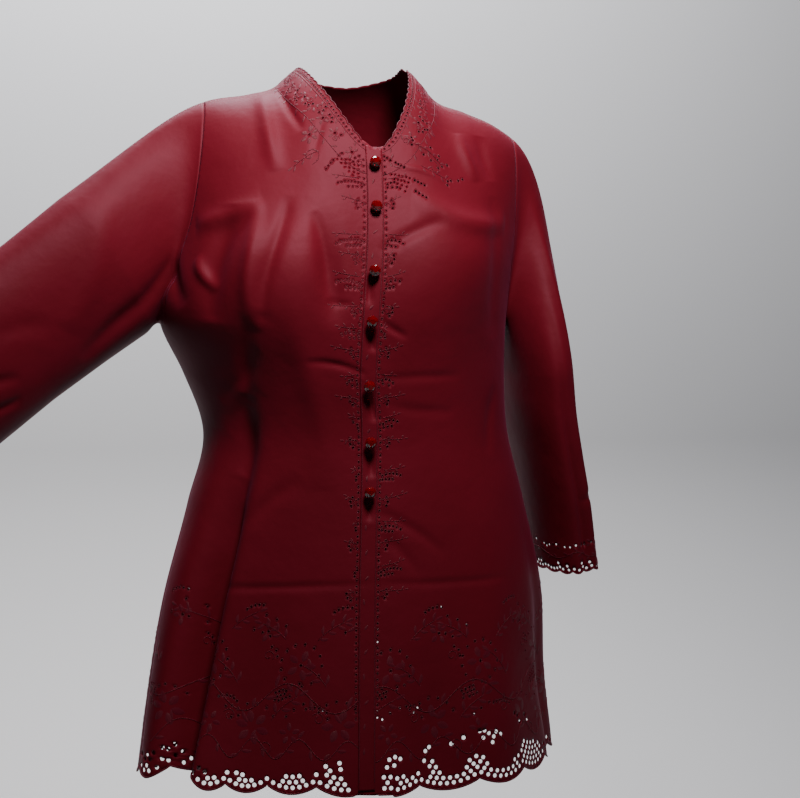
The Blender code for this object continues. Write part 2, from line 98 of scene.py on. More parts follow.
# Small creases of the cloth: from angle and level, to angle and level, bow, width, height, lean.
# A trough has a height below zero, a ridge one above it, and lean makes one side the steeper.
bodyCreases = (
    # press line across the fronts, where the blouse lay folded
    (-63.0, -0.526, -4.0, -0.522, 0.000, 0.0040, -0.0012, 0.9),
    (-4.0, -0.522, 42.0, -0.527, 0.001, 0.0040, -0.0010, 0.7),
    # pulls beside the buttons
    (-20.0, -0.300, -1.0, -0.314, -0.004, 0.0036, -0.0018, 0.5),
    (2.0, -0.318, 34.0, -0.316, -0.001, 0.0046, -0.0012, 0.4),
    (-10.0, -0.241, -2.0, -0.245, 0.001, 0.0030, -0.0016, 0.3),
    (6.0, -0.259, 14.5, -0.277, 0.001, 0.0036, -0.0018, 0.3),
    (-17.5, -0.155, -9.5, -0.238, -0.003, 0.0060, -0.0036, 0.3),
    (4.0, -0.196, 24.0, -0.162, -0.002, 0.0064, -0.0026, -0.3),
    (-5.0, -0.448, 19.0, -0.498, -0.006, 0.0060, -0.0014, 0.5),
    (-2.0, -0.475, 10.0, -0.520, -0.004, 0.0060, -0.0012, 0.0),
    (3.0, -0.345, 30.0, -0.352, 0.002, 0.0056, -0.0010, 0.3),
    # hollows under the lower buttons, where the band pulls open
    (2.5, -0.217, 2.8, -0.246, 0.000, 0.0042, -0.0034, 0.0),
    (3.0, -0.265, 2.5, -0.292, 0.000, 0.0042, -0.0034, 0.0),
    (-1.4, -0.329, -2.4, -0.362, 0.000, 0.0044, -0.0038, 0.0),
    (-4.4, -0.386, -4.8, -0.418, 0.000, 0.0046, -0.0038, 0.0),
    (-5.2, -0.436, -5.4, -0.462, 0.000, 0.0042, -0.0030, 0.0),
    # vertical troughs of the bust
    (-26.0, -0.135, -30.5, -0.262, 0.000, 0.0072, -0.0042, -0.4),
    (-30.0, -0.250, -49.0, -0.345, 0.003, 0.0084, -0.0042, -0.3),
    (-48.0, -0.335, -57.0, -0.415, 0.002, 0.0100, -0.0042, -0.2),
    (-18.5, -0.190, -22.0, -0.430, 0.000, 0.0150, 0.0028, 0.0),
    (-46.0, -0.140, -49.0, -0.260, 0.000, 0.0160, -0.0080, -0.3),
    (-36.0, -0.135, -33.0, -0.270, 0.000, 0.0080, 0.0050, 0.0),
    (-57.0, -0.195, -45.0, -0.230, 0.003, 0.0060, 0.0040, 0.4),
    (-80.0, -0.165, -61.0, -0.245, 0.004, 0.0100, -0.0050, 0.3),
    # drags from the waist and the side
    (-34.0, -0.288, -62.0, -0.342, -0.006, 0.0070, -0.0020, 0.4),
    (-40.0, -0.330, -64.0, -0.372, 0.004, 0.0080, -0.0012, -0.3),
    (-28.0, -0.420, -50.0, -0.470, 0.004, 0.0090, -0.0016, 0.3),
    # the tops of the bust, where the light ends
    (13.0, -0.146, 55.0, -0.152, 0.010, 0.0130, 0.0056, -0.3),
    (-62.0, -0.160, -34.0, -0.140, 0.004, 0.0120, 0.0050, -0.3),
    # neck and shoulders
    (-27.5, -0.004, -21.0, -0.068, 0.002, 0.0038, -0.0030, 0.4),
    (-33.0, -0.004, -30.0, -0.105, 0.003, 0.0080, 0.0040, 0.0),
    (-14.0, -0.060, -18.0, -0.100, 0.001, 0.0040, -0.0014, 0.0),
    (7.5, -0.076, 24.0, -0.095, 0.001, 0.0024, 0.0016, 0.2),
    (7.5, -0.110, 24.0, -0.117, -0.001, 0.0024, 0.0014, 0.2),
    (31.0, -0.045, 38.0, -0.106, 0.002, 0.0070, 0.0034, 0.0),
    (40.0, -0.040, 46.0, -0.100, 0.002, 0.0080, -0.0026, 0.0),
    # under the bust on the left, and its side
    (47.0, -0.120, 54.0, -0.280, 0.004, 0.0120, -0.0026, 0.2),
    (58.0, -0.330, 46.0, -0.400, 0.003, 0.0080, -0.0018, 0.2),
    # the back and the sides, which have the same kinds of pull
    (100.0, -0.300, 122.0, -0.345, 0.006, 0.0070, -0.0030, 0.3),
    (128.0, -0.300, 160.0, -0.322, 0.006, 0.0080, -0.0028, 0.3),
    (198.0, -0.318, 232.0, -0.296, -0.005, 0.0070, -0.0030, 0.3),
    (240.0, -0.350, 262.0, -0.312, 0.004, 0.0080, -0.0028, 0.2),
    (112.0, -0.525, 176.0, -0.522, 0.002, 0.0045, -0.0012, 0.8),
    (184.0, -0.521, 246.0, -0.525, -0.002, 0.0045, -0.0014, 0.8),
    (120.0, -0.120, 108.0, -0.230, 0.004, 0.0120, -0.0050, 0.3),
    (240.0, -0.115, 252.0, -0.230, -0.004, 0.0120, -0.0050, 0.3),
    (150.0, -0.090, 146.0, -0.240, 0.002, 0.0140, 0.0040, 0.0),
    (212.0, -0.095, 216.0, -0.240, 0.002, 0.0140, 0.0040, 0.0),
)


def smoothCurve(stations, values, at):
    # A cubic between neighbouring values, with slopes taken from the values on each side.
    stations = np.asarray(stations, float)
    values = np.asarray(values, float)
    at = np.clip(np.asarray(at, float), stations[0], stations[-1])
    slopes = np.gradient(values, stations)
    index = np.clip(np.searchsorted(stations, at) - 1, 0, len(stations) - 2)
    span = stations[index + 1] - stations[index]
    t = (at - stations[index]) / span
    start = (2 * t**3 - 3 * t**2 + 1) * values[index]
    start = start + (t**3 - 2 * t**2 + t) * span * slopes[index]
    end = (3 * t**2 - 2 * t**3) * values[index + 1]
    return start + end + (t**3 - t**2) * span * slopes[index + 1]


def smoothStep(low, high, value):
    t = np.clip((value - low) / (high - low), 0.0, 1.0)
    return t * t * (3 - 2 * t)


def unitOf(vectors):
    return vectors / np.maximum(np.linalg.norm(vectors, axis=-1, keepdims=True), 1e-12)


def section(name, level):
    return smoothCurve(bodySections["level"], bodySections[name], level)


def bareBody(angle, level):
    # Half an ellipse in front and half behind, which close to the shoulder ridge at level 0.
    share = np.clip(1 - level / blouse["underarmLevel"], 0.0, 1.0)
    front = section("frontDepth", level) * np.sqrt(1 - share ** blouse["frontRounding"])
    back = section("backDepth", level) * np.sqrt(1 - share ** blouse["backRounding"])
    depth = np.where(np.cos(angle) >= 0, front, back)
    x = section("halfWidth", level) * np.sin(angle)
    y = section("middleY", level) * (1 - share) - depth * np.cos(angle)
    turn = np.radians(section("turnDegrees", level))
    turnedX = x * np.cos(turn) - y * np.sin(turn) + section("middleX", level)
    turnedY = x * np.sin(turn) + y * np.cos(turn)
    ridge = smoothCurve(shoulderRidge["x"], shoulderRidge["z"], turnedX)
    return np.stack([turnedX, turnedY, level + ridge * share ** blouse["ridgePower"]], axis=-1)


def aroundFrom(angle, centreDegrees):
    gap = angle - np.radians(centreDegrees)
    return np.arctan2(np.sin(gap), np.cos(gap))


def girthAt(level):
    return 0.5 * (section("halfWidth", level) + section("frontDepth", level))


def drapeHeight(angle, level):
    # Bells for the rounds, and grooves that deepen downwards for the long folds.
    girth = girthAt(level)
    total = np.zeros(np.broadcast(angle, level).shape)
    for centre, middle, width, rise, fall, height in drapeRounds:
        sideways = aroundFrom(angle, centre) * girth / width
        reach = np.where(level > middle, rise, fall)
        total = total + height * np.exp(-(sideways**2) - ((level - middle) / reach) ** 2)
    for topAngle, top, lowAngle, low, frontWidth, sideWidth, height in longFolds:
        reach = (level - top) / (low - top)
        run = np.clip(reach, 0.0, 1.0)
        centre = topAngle + (lowAngle - topAngle) * run
        sideways = aroundFrom(angle, centre) * girth
        towardsFront = np.abs(np.degrees(aroundFrom(angle, 0.0))) < np.abs(centre)
        width = np.where(towardsFront, frontWidth, sideWidth)
        depth = height * smoothStep(0.0, blouse["foldGrowth"], run)
        depth = depth * (1 - smoothStep(1.0, blouse["foldEnd"], reach))
        total = total + depth * np.exp(-((sideways / width) ** 2))
    return total


def creaseLine(across, along, row):
    # One crease in flat metres: a bell across its bowed line, which fades at both ends.
    acrossStart, alongStart, acrossEnd, alongEnd, bow, width, height, lean = row
    runX = acrossEnd - acrossStart
    runY = alongEnd - alongStart
    length = math.hypot(runX, runY)
    t = ((across - acrossStart) * runX + (along - alongStart) * runY) / length**2
    d = ((across - acrossStart) * runY - (along - alongStart) * runX) / length
    d = (d - bow * 4 * t * (1 - t)) / width
    fade = np.sin(math.pi * np.clip(t, 0.0, 1.0)) ** 0.7
    return height * fade * np.exp(-(d**2)) * (1 + lean * np.clip(d, -2.0, 2.0))


def creaseHeight(angle, level):
    total = np.zeros(np.broadcast(angle, level).shape)
    for fromAngle, fromLevel, toAngle, toLevel, bow, width, height, lean in bodyCreases:
        middle = math.radians(0.5 * (fromAngle + toAngle))
        girth = float(np.linalg.norm(
            bareBody(np.array(middle + 0.01), np.array(0.5 * (fromLevel + toLevel)))
            - bareBody(np.array(middle - 0.01), np.array(0.5 * (fromLevel + toLevel)))
        )) / 0.02
        across = aroundFrom(angle, math.degrees(middle)) * girth
        half = math.radians(0.5 * (toAngle - fromAngle)) * girth
        row = (-half, fromLevel, half, toLevel, bow, width, height, lean)
        total = total + creaseLine(across, level, row)
    return total


def outwardOf(surface, first, second, step=0.002, top=None):
    # Normal from small differences; it stays below the top of the second value, if there is one.
    along = surface(first + step, second) - surface(first - step, second)
    high = second + step * 0.25
    if top is not None:
        high = np.minimum(high, top)
    up = surface(first, high) - surface(first, high - step * 0.5)
    return unitOf(np.cross(along, up))


def clothBody(angle, level):
    angle, level = np.broadcast_arrays(np.asarray(angle, float), np.asarray(level, float))
    lift = drapeHeight(angle, level) + creaseHeight(angle, level)
    return bareBody(angle, level) + outwardOf(bareBody, angle, level, top=-0.00002) * lift[..., None]


# Flat coordinates of the body's cloth: x is the length round it, v the height from the underarm.
arcAngles = np.linspace(-2.2, 5.2, 2401)
arcSteps = np.linalg.norm(np.diff(bareBody(arcAngles, np.full(2401, blouse["arcLevel"])), axis=0), axis=1)
arcLengths = np.concatenate([[0.0], np.cumsum(arcSteps)])
arcLengths = arcLengths - np.interp(0.0, arcAngles, arcLengths)


def xOfAngle(angle):
    return np.interp(angle, arcAngles, arcLengths)


def angleOfX(x):
    return np.interp(x, arcLengths, arcAngles)


def vOfLevel(level):
    under = blouse["underarmLevel"]
    above = blouse["topReach"] * (1 - np.sqrt(np.clip(level / under, 0.0, 1.0)))
    return np.where(level < under, level - under, above)


def levelOfV(v):
    under = blouse["underarmLevel"]
    above = under * (1 - np.clip(v / blouse["topReach"], 0.0, 1.0)) ** 2
    return np.where(v < 0, under + v, above)


def bodySurface(x, v):
    return clothBody(angleOfX(x), levelOfV(v))


# Edges: front band and underlap, hem, armholes and neckline.
edges = {
    "bandWidth": 0.0175,
    "underlap": 0.0013,
    "underlapFade": 0.035,
    "scallopDepth": 0.009,
    "scallopsPerFront": 6,
    "columnsPerScallop": 4,
    "hemScallopPower": 0.8,
    "armholePower": 0.35,
    "backNeckDrop": 0.018,
    "shoulderTip": {"right": 58.0, "left": 62.0},
    "neckScallop": 0.0135,
    "neckScallopDepth": 0.0019,
}
frontNeckline = {
    "x": (-0.061, -0.051, -0.038, -0.025, -0.011, 0.004, 0.019, 0.031, 0.042, 0.050, 0.055),
    "z": (0.0, -0.017, -0.038, -0.060, -0.080, -0.089, -0.081, -0.062, -0.040, -0.018, 0.0),
}
hemRise = {
    "angle": (-180.0, -120.0, -95.0, -84.0, -70.0, -55.0, -40.0, -18.0, 0.0, 40.0, 100.0, 180.0),
    "rise": (0.004, 0.006, 0.011, 0.012, 0.022, 0.010, 0.008, 0.006, 0.001, 0.001, 0.004, 0.004),
}


def angleAtX(x, level):
    middle = section("middleX", level)
    turn = np.radians(section("turnDegrees", level))
    share = np.clip(1 - level / blouse["underarmLevel"], 0.0, 1.0)
    depth = section("frontDepth", level) * np.sqrt(1 - share ** blouse["frontRounding"])
    across = (x - middle - depth * np.sin(turn)) / section("halfWidth", level)
    return np.arcsin(np.clip(across / np.cos(turn), -1.0, 1.0))


def edgeAngle(side, level, offset):
    # Angle of a line beside the centre front, counted positive towards this side.
    sign = -1.0 if side == "right" else 1.0
    return sign * angleAtX(section("centreFrontX", level) + sign * offset, level)


def hemLevelAt(angle):
    # The hem's height, with the same scallops as the solids: four columns of the panel to each.
    turned = aroundFrom(angle, 0.0)
    rise = smoothCurve(hemRise["angle"], hemRise["rise"], np.degrees(turned))
    count = edges["scallopsPerFront"] * edges["columnsPerScallop"]
    level = np.full(np.shape(angle), blouse["hemLevel"])
    own = np.where(turned < 0, edgeAngle("right", level, edges["bandWidth"] / 2),
                   edgeAngle("left", level, edges["bandWidth"] / 2))
    size = np.abs(turned)
    front = 1 + (size - own) / (math.pi / 2 - own) * (count - 1)
    back = (math.pi - size) / (math.pi / 2) * count
    column = np.where(size < math.pi / 2, np.maximum(front, 1.0), back)
    wave = np.abs(np.sin(math.pi * column / edges["columnsPerScallop"])) ** edges["hemScallopPower"]
    return blouse["hemLevel"] + rise - edges["scallopDepth"] * wave


def frontNeckLevel(x):
    # Level of the front neckline at each x, in front of the shoulder ridge.
    height = smoothCurve(frontNeckline["x"], frontNeckline["z"], x)
    ridge = smoothCurve(shoulderRidge["x"], shoulderRidge["z"], x)
    level = height - ridge
    for _ in range(12):
        ridgeShare = (1 - level / blouse["underarmLevel"]) ** blouse["ridgePower"]
        level = np.minimum(height - ridge * ridgeShare, 0.0)
    return level


def necklineOf(side):
    # Angle (towards this side) and level of the front neckline, from the front edge to the shoulder.
    sign = -1.0 if side == "right" else 1.0
    middle = float(section("centreFrontX", -0.09))
    x = np.linspace(middle - sign * edges["bandWidth"] / 2, frontNeckline["x"][0 if sign < 0 else -1], 300)
    level = frontNeckLevel(x)
    return sign * angleAtX(x, level), level


def backNeckline(side):
    share = np.linspace(0.0, 1.0, 160)
    edge = abs(float(angleAtX(np.array(frontNeckline["x"][0 if side == "right" else -1]), np.array(0.0))))
    return share * edge, -edges["backNeckDrop"] * np.sqrt(np.clip(1 - share**2.4, 0.0, 1.0))


def armholeOf(side, share):
    tip = math.radians(edges["shoulderTip"][side])
    angle = math.pi / 2 - (math.pi / 2 - tip) * share ** edges["armholePower"]
    return angle, blouse["underarmLevel"] * (1 - share)


def resampled(points, step):
    # The same line with even steps along it, its two ends kept.
    lengths = np.concatenate([[0.0], np.cumsum(np.linalg.norm(np.diff(points, axis=0), axis=1))])
    count = max(int(round(lengths[-1] / step)), 1)
    at = np.linspace(0.0, lengths[-1], count + 1)
    return np.stack([np.interp(at, lengths, points[:, axis]) for axis in range(points.shape[1])], axis=1)


def scalloped(line, pitch, depth, outwards):
    # Rounded bumps of the given pitch along a line, on the side that outwards points to.
    lengths = np.concatenate([[0.0], np.cumsum(np.linalg.norm(np.diff(line, axis=0), axis=1))])
    count = max(round(lengths[-1] / pitch), 1)
    tangent = unitOf(np.gradient(line, axis=0))
    normal = np.stack([-tangent[:, 1], tangent[:, 0]], axis=1) * outwards
    bump = np.abs(np.sin(math.pi * count * lengths / lengths[-1])) ** 0.7
    return line + normal * (depth * bump)[:, None]


def flatLine(angle, level):
    return np.stack([xOfAngle(angle), vOfLevel(level)], axis=1)


def frontOutline(side):
    # Hem, side seam, armhole, shoulder, neckline and front edge, as one closed line of flat points.
    sign = -1.0 if side == "right" else 1.0
    step = blouse["edgeStep"]
    hemFirst = float(edgeAngle(side, np.array(blouse["hemLevel"]), -edges["bandWidth"] / 2))
    hemAngles = np.linspace(hemFirst, math.pi / 2, 700)
    hem = flatLine(sign * hemAngles, hemLevelAt(sign * hemAngles))
    share = np.linspace(0.0, 1.0, 120)
    armAngles, armLevels = armholeOf(side, share)
    neckAngles, neckLevels = necklineOf(side)
    corner = flatLine(sign * np.array([math.pi / 2]), np.array([blouse["underarmLevel"]]))
    seam = np.concatenate([hem[-1:], corner])
    armhole = flatLine(sign * armAngles, armLevels)
    shoulder = flatLine(sign * np.linspace(armAngles[-1], neckAngles[-1], 40), np.zeros(40))
    neck = resampled(flatLine(sign * neckAngles[::-1], neckLevels[::-1]), 0.001)
    neck = scalloped(neck, edges["neckScallop"], edges["neckScallopDepth"], -sign)
    neck[:, 1] = np.minimum(neck[:, 1], blouse["topReach"])
    lowLevels = np.linspace(neckLevels[0], levelOfV(hem[0, 1]), 300)
    opening = flatLine(sign * edgeAngle(side, lowLevels, -edges["bandWidth"] / 2), lowLevels)
    opening[0] = neck[-1]
    opening[-1] = hem[0]
    sides = [resampled(line, step)[:-1] for line in (hem, seam, armhole, shoulder, neck, opening)]
    return np.concatenate(sides), hem, neck


def backOutline():
    step = blouse["edgeStep"]
    hemAngles = np.linspace(math.pi / 2, math.pi * 1.5, 1400)
    hem = flatLine(hemAngles, hemLevelAt(hemAngles))
    share = np.linspace(0.0, 1.0, 120)
    sides = [hem]
    lines = {}
    for side, sign in (("right", -1.0), ("left", 1.0)):
        armAngles, armLevels = armholeOf(side, share)
        neckAngles, neckLevels = backNeckline(side)
        armAngles = math.pi - sign * armAngles
        neckAngles = math.pi - sign * neckAngles
        shoulder = flatLine(np.linspace(armAngles[-1], neckAngles[-1], 40), np.zeros(40))
        lines[side] = (flatLine(armAngles, armLevels), shoulder, flatLine(neckAngles, neckLevels))
    neck = resampled(np.concatenate([lines["right"][2][::-1], lines["left"][2][1:]]), 0.001)
    neck = scalloped(neck, edges["neckScallop"], edges["neckScallopDepth"], -1.0)
    neck[:, 1] = np.minimum(neck[:, 1], blouse["topReach"])
    sides.append(np.concatenate([hem[-1:], lines["right"][0][:1]]))
    sides += [lines["right"][0], lines["right"][1], neck, lines["left"][1][::-1], lines["left"][0][::-1]]
    sides.append(np.concatenate([lines["left"][0][:1], hem[:1]]))
    return np.concatenate([resampled(line, step)[:-1] for line in sides]), hem, neck


def insideOf(points, outline):
    # Even-odd count of the outline's edges to the right of each point, a slice of points at a time.
    ends = np.roll(outline, -1, axis=0)
    found = []
    for part in np.array_split(points, max(len(points) // 4000, 1)):
        y = part[:, None, 1]
        crosses = (outline[None, :, 1] > y) != (ends[None, :, 1] > y)
        rise = np.where(crosses, ends[None, :, 1] - outline[None, :, 1], 1.0)
        at = outline[None, :, 0] + (y - outline[None, :, 1]) / rise * (ends - outline)[None, :, 0]
        found.append(np.sum(crosses & (at > part[:, None, 0]), axis=1) % 2 == 1)
    return np.concatenate(found)


def nearestGap(points, others):
    found = []
    for part in np.array_split(points, max(len(points) // 2000, 1)):
        gaps = np.linalg.norm(part[:, None] - others[None], axis=2)
        found.append(gaps.min(axis=1))
    return np.concatenate(found)


def gapToHoles(points, holes):
    # Distance from each point to the nearest hole's rim.
    found = []
    for part in np.array_split(points, max(len(points) // 2000, 1)):
        gaps = np.linalg.norm(part[:, None] - holes[None, :, :2], axis=2)
        found.append((gaps - holes[None, :, 2:4].max(axis=2)).min(axis=1))
    return np.concatenate(found)


def cutSheet(outline, holes, step):
    # A triangle mesh of the flat outline, on a lattice of even points, with round holes left open.
    # Each hole is a row: x, v, half width, half height, sides.
    low = outline.min(axis=0)
    high = outline.max(axis=0)
    rows = np.arange(low[1], high[1], step * math.sqrt(3) / 2)
    columns = np.arange(low[0], high[0], step)
    lattice = np.stack(np.meshgrid(columns, rows), axis=-1)
    lattice[1::2, :, 0] += step / 2
    lattice = lattice.reshape(-1, 2)
    lattice = lattice[insideOf(lattice, outline)]
    lattice = lattice[nearestGap(lattice, outline) > step * 0.55]
    rings = []
    edgeList = [np.stack([np.arange(len(outline)), np.roll(np.arange(len(outline)), -1)], axis=1)]
    start = len(outline)
    if len(holes):
        sides = holes[0, 4].astype(int)
        turn = np.arange(sides) * 2 * math.pi / sides
        corner = np.stack([np.cos(turn), np.sin(turn)], axis=1)
        rings = holes[:, None, :2] + holes[:, None, 2:4] * corner[None]
        rings = rings.reshape(-1, 2)
        index = start + np.arange(len(holes))[:, None] * sides
        ring = np.stack([index + np.arange(sides), index + np.roll(np.arange(sides), -1)], axis=-1)
        edgeList.append(ring.reshape(-1, 2))
        lattice = lattice[gapToHoles(lattice, holes) > step * 0.3]
        outline = np.concatenate([outline, rings])
    points = np.concatenate([outline, lattice])
    boundary = points[:start]
    result = delaunay_2d_cdt(points.tolist(), np.concatenate(edgeList).tolist(), [], 0, 1e-7, False)
    flat = np.array(result[0])
    triangles = np.array(result[2])
    middles = flat[triangles].mean(axis=1)
    keep = insideOf(middles, boundary)
    if len(holes):
        keep &= ~insideAny(middles, holes)
    triangles = triangles[keep]
    used, index = np.unique(triangles, return_inverse=True)
    return flat[used], index.reshape(-1, 3)


def insideAny(points, holes):
    found = []
    for part in np.array_split(points, max(len(points) // 2000, 1)):
        away = (part[:, None] - holes[None, :, :2]) / holes[None, :, 2:4]
        found.append((np.sum(away**2, axis=2) < 0.92).any(axis=1))
    return np.concatenate(found)


def newMesh(name, points, faces, material, flat=None, smooth=True):
    mesh = bpy.data.meshes.new(name)
    mesh.from_pydata(points.tolist(), [], faces.tolist())
    mesh.polygons.foreach_set("use_smooth", np.full(len(faces), smooth))
    if flat is not None:
        layer = mesh.uv_layers.new(name="cloth")
        corners = np.empty(len(mesh.loops), np.int32)
        mesh.loops.foreach_get("vertex_index", corners)
        layer.data.foreach_set("uv", flat[corners].astype(np.float32).reshape(-1))
    mesh.materials.append(material)
    mesh.update()
    item = bpy.data.objects.new(name, mesh)
    bpy.context.scene.collection.objects.link(item)
    return item


def clothPiece(name, flat, triangles, points, outwards, material):
    # The sheet's outer face is the surface itself, and its wall goes inwards.
    corner = points[triangles]
    facing = np.cross(corner[:, 1] - corner[:, 0], corner[:, 2] - corner[:, 0])
    if np.sum(facing * outwards[triangles[:, 0]]) < 0:
        triangles = triangles[:, ::-1]
    item = newMesh(name, points, triangles, material, flat)
    wall = item.modifiers.new("cloth wall", "SOLIDIFY")
    wall.thickness = blouse["clothWall"]
    wall.offset = -1.0
    wall.use_even_offset = False
    return item


def addNode(tree, kind, settings=None, links=None):
    # One helper for the node trees: makes a node, sets its values, and links its inputs.
    node = tree.nodes.new(kind)
    for key, value in (settings or {}).items():
        if isinstance(key, str) and hasattr(node, key):
            setattr(node, key, value)
        else:
            node.inputs[key].default_value = value
    for key, output in (links or {}).items():
        tree.links.new(output, node.inputs[key])
    return node


def linearOf(hexColour):
    # An sRGB hex colour as linear red, green, blue and alpha.
    parts = [int(hexColour[i : i + 2], 16) / 255 for i in (1, 3, 5)]
    return [c / 12.92 if c <= 0.04045 else ((c + 0.055) / 1.055) ** 2.4 for c in parts] + [1.0]


def newMaterial(name, settings):
    material = bpy.data.materials.new(name)
    material.use_nodes = True
    shader = material.node_tree.nodes["Principled BSDF"]
    for key, value in settings.items():
        shader.inputs[key].default_value = value
    return material, material.node_tree, shader


# Polyester crepe, piece dyed: matt ground with a soft pinkish sheen where light grazes it.
crepe = {
    "deep": "#620e1b",
    "worn": "#731425",
    "sheenTint": "#b05888",
    "glossTint": "#ffd0ee",
    "threadPitch": 0.0009,
    "softWrinkle": 0.030,
    "patch": 0.09,
}


def crepeMaterial(name, deep, worn):
    material, tree, shader = newMaterial(name, {
        "Roughness": 0.56,
        "IOR": 1.46,
        "Specular IOR Level": 0.24,
        "Specular Tint": linearOf(crepe["glossTint"]),
        "Sheen Weight": 0.12,
        "Sheen Roughness": 0.45,
        "Sheen Tint": linearOf(crepe["sheenTint"]),
    })
    place = addNode(tree, "ShaderNodeTexCoord")
    spot = {"Vector": place.outputs["Object"]}
    patches = addNode(tree, "ShaderNodeTexNoise", {"Scale": 1 / crepe["patch"], "Detail": 2.0}, spot)
    colour = addNode(tree, "ShaderNodeMix", {"data_type": "RGBA"}, {0: patches.outputs["Fac"]})
    colour.inputs[6].default_value = linearOf(deep)
    colour.inputs[7].default_value = linearOf(worn)
    tree.links.new(colour.outputs[2], shader.inputs["Base Color"])
    # The real thread pitch is about 0.2 mm; it is drawn at 0.9 mm, the finest that shows.
    weave = addNode(tree, "ShaderNodeTexNoise", {"Scale": 1 / crepe["threadPitch"], "Detail": 1.0}, spot)
    fine = addNode(tree, "ShaderNodeBump", {"Strength": 0.10, "Distance": 0.0003}, {
        "Height": weave.outputs["Fac"]})
    soft = addNode(tree, "ShaderNodeTexNoise", {
        "Scale": 1 / crepe["softWrinkle"],
        "Detail": 3.0,
        "Roughness": 0.5,
    }, spot)
    wrinkle = addNode(tree, "ShaderNodeBump", {"Strength": 0.35, "Distance": 0.003}, {
        "Height": soft.outputs["Fac"],
        "Normal": fine.outputs["Normal"],
    })
    tree.links.new(wrinkle.outputs["Normal"], shader.inputs["Normal"])
    return material


crepeCloth = crepeMaterial("crepe, piece dyed", crepe["deep"], crepe["worn"])
print("materials made")

gridFacts = {"lowX": -0.34, "highX": 0.92, "lowV": -0.485, "step": 0.002}


def surfaceTable(surface, lowX, highX, lowV, highV, facing, sunk=None):
    # The surface at even flat points, with its outward normals and the real metres to a flat one.
    x = np.linspace(lowX, highX, int((highX - lowX) / gridFacts["step"]) + 1)
    v = np.linspace(lowV, highV, int((highV - lowV) / gridFacts["step"]) + 1)
    points = surface(x[None, :], v[:, None])
    alongX = np.gradient(points, x[1] - x[0], axis=1)
    alongV = np.gradient(points, v[1] - v[0], axis=0)
    lengths = [np.linalg.norm(along, axis=-1) for along in (alongX, alongV)]
    return {
        "low": (lowX, lowV),
        "cell": (x[1] - x[0], v[1] - v[0]),
        "points": points,
        "normals": unitOf(np.cross(alongX, alongV)) * facing,
        "metric": np.maximum(np.stack(lengths, axis=-1), 0.2),
        "sunk": sunk,
    }


def readTable(table, name, flat):
    # Values between the table's points, straight between neighbours.
    values = table[name]
    column = np.clip((flat[..., 0] - table["low"][0]) / table["cell"][0], 0, values.shape[1] - 1.001)
    row = np.clip((flat[..., 1] - table["low"][1]) / table["cell"][1], 0, values.shape[0] - 1.001)
    i = column.astype(int)
    j = row.astype(int)
    a = (column - i)[..., None]
    b = (row - j)[..., None]
    low = values[j, i] * (1 - a) + values[j, i + 1] * a
    high = values[j + 1, i] * (1 - a) + values[j + 1, i + 1] * a
    return low * (1 - b) + high * b


def onCloth(table, flat, height):
    # Points at a height over the cloth's outer face.
    if table["sunk"] is not None:
        height = height - table["sunk"](flat)
    return readTable(table, "points", flat) + unitOf(readTable(table, "normals", flat)) * height[..., None]


def localFlat(table, anchor, heading, along, across):
    # Flat points at real distances from an anchor, along a heading and across it.
    turnedX = along * np.cos(heading) - across * np.sin(heading)
    turnedV = along * np.sin(heading) + across * np.cos(heading)
    return anchor + np.stack([turnedX, turnedV], axis=-1) / readTable(table, "metric", anchor)


def underlapLift(angle, level):
    # How far the left front goes in behind the right one, by the distance from the centre front.
    away = (angle - angleAtX(section("centreFrontX", level), level)) * section("halfWidth", level)
    start = edges["bandWidth"] / 2
    return edges["underlap"] * (1 - smoothStep(start, start + edges["underlapFade"], away))


def sunkBeside(flat):
    angle = angleOfX(flat[..., 0])
    level = levelOfV(flat[..., 1])
    away = (angle - angleAtX(section("centreFrontX", level), level)) * section("halfWidth", level)
    shown = (away > edges["bandWidth"] / 2) & (angle < math.pi / 2)
    return np.where(shown, underlapLift(angle, level), 0.0)


bodyTable = surfaceTable(
    bodySurface, gridFacts["lowX"], gridFacts["highX"], gridFacts["lowV"], blouse["topReach"],
    1.0, sunkBeside)
print("surface tables made")

# Embroidery: satin stitched leaves and petals, eyelets that are cut through, and corded lines.
stitch = {
    "leafHeight": 0.00042,
    "leafRows": 8,
    "leafColumns": 5,
    "sunkEdge": 0.00018,
    "eyelet": 0.00115,
    "netDot": 0.00078,
    "blindBelow": 0.064,
    "backEyelets": -0.15,
    "eyeletRim": 0.00085,
    "cordRadius": 0.00042,
    "cordSides": 6,
    "threadPitch": 0.0007,
    "seed": 11,
}
chance = np.random.default_rng(stitch["seed"])


def newDesign():
    return {"leaves": [], "eyelets": [], "cords": []}


def addLeaf(design, anchor, heading, length, width, bend=0.0):
    design["leaves"].append((anchor[0], anchor[1], heading, length, width, bend))


def addEyelet(design, anchor, radius=None):
    design["eyelets"].append((anchor[0], anchor[1], radius or stitch["eyelet"]))


def addFlower(design, table, anchor, radius, petals, turn, ring=0):
    # Petals round an eyelet, and for a large one a ring of eyelets outside them.
    anchor = np.asarray(anchor, float)
    addEyelet(design, anchor, stitch["eyelet"] * 1.15)
    for number in range(petals):
        heading = turn + number * 2 * math.pi / petals
        start = localFlat(table, anchor, heading, radius * 0.24, 0.0)
        addLeaf(design, start, heading, radius * 0.76, radius * 0.52)
    for number in range(ring):
        heading = turn + (number + 0.5) * 2 * math.pi / ring
        addEyelet(design, localFlat(table, anchor, heading, radius * 1.32, 0.0))


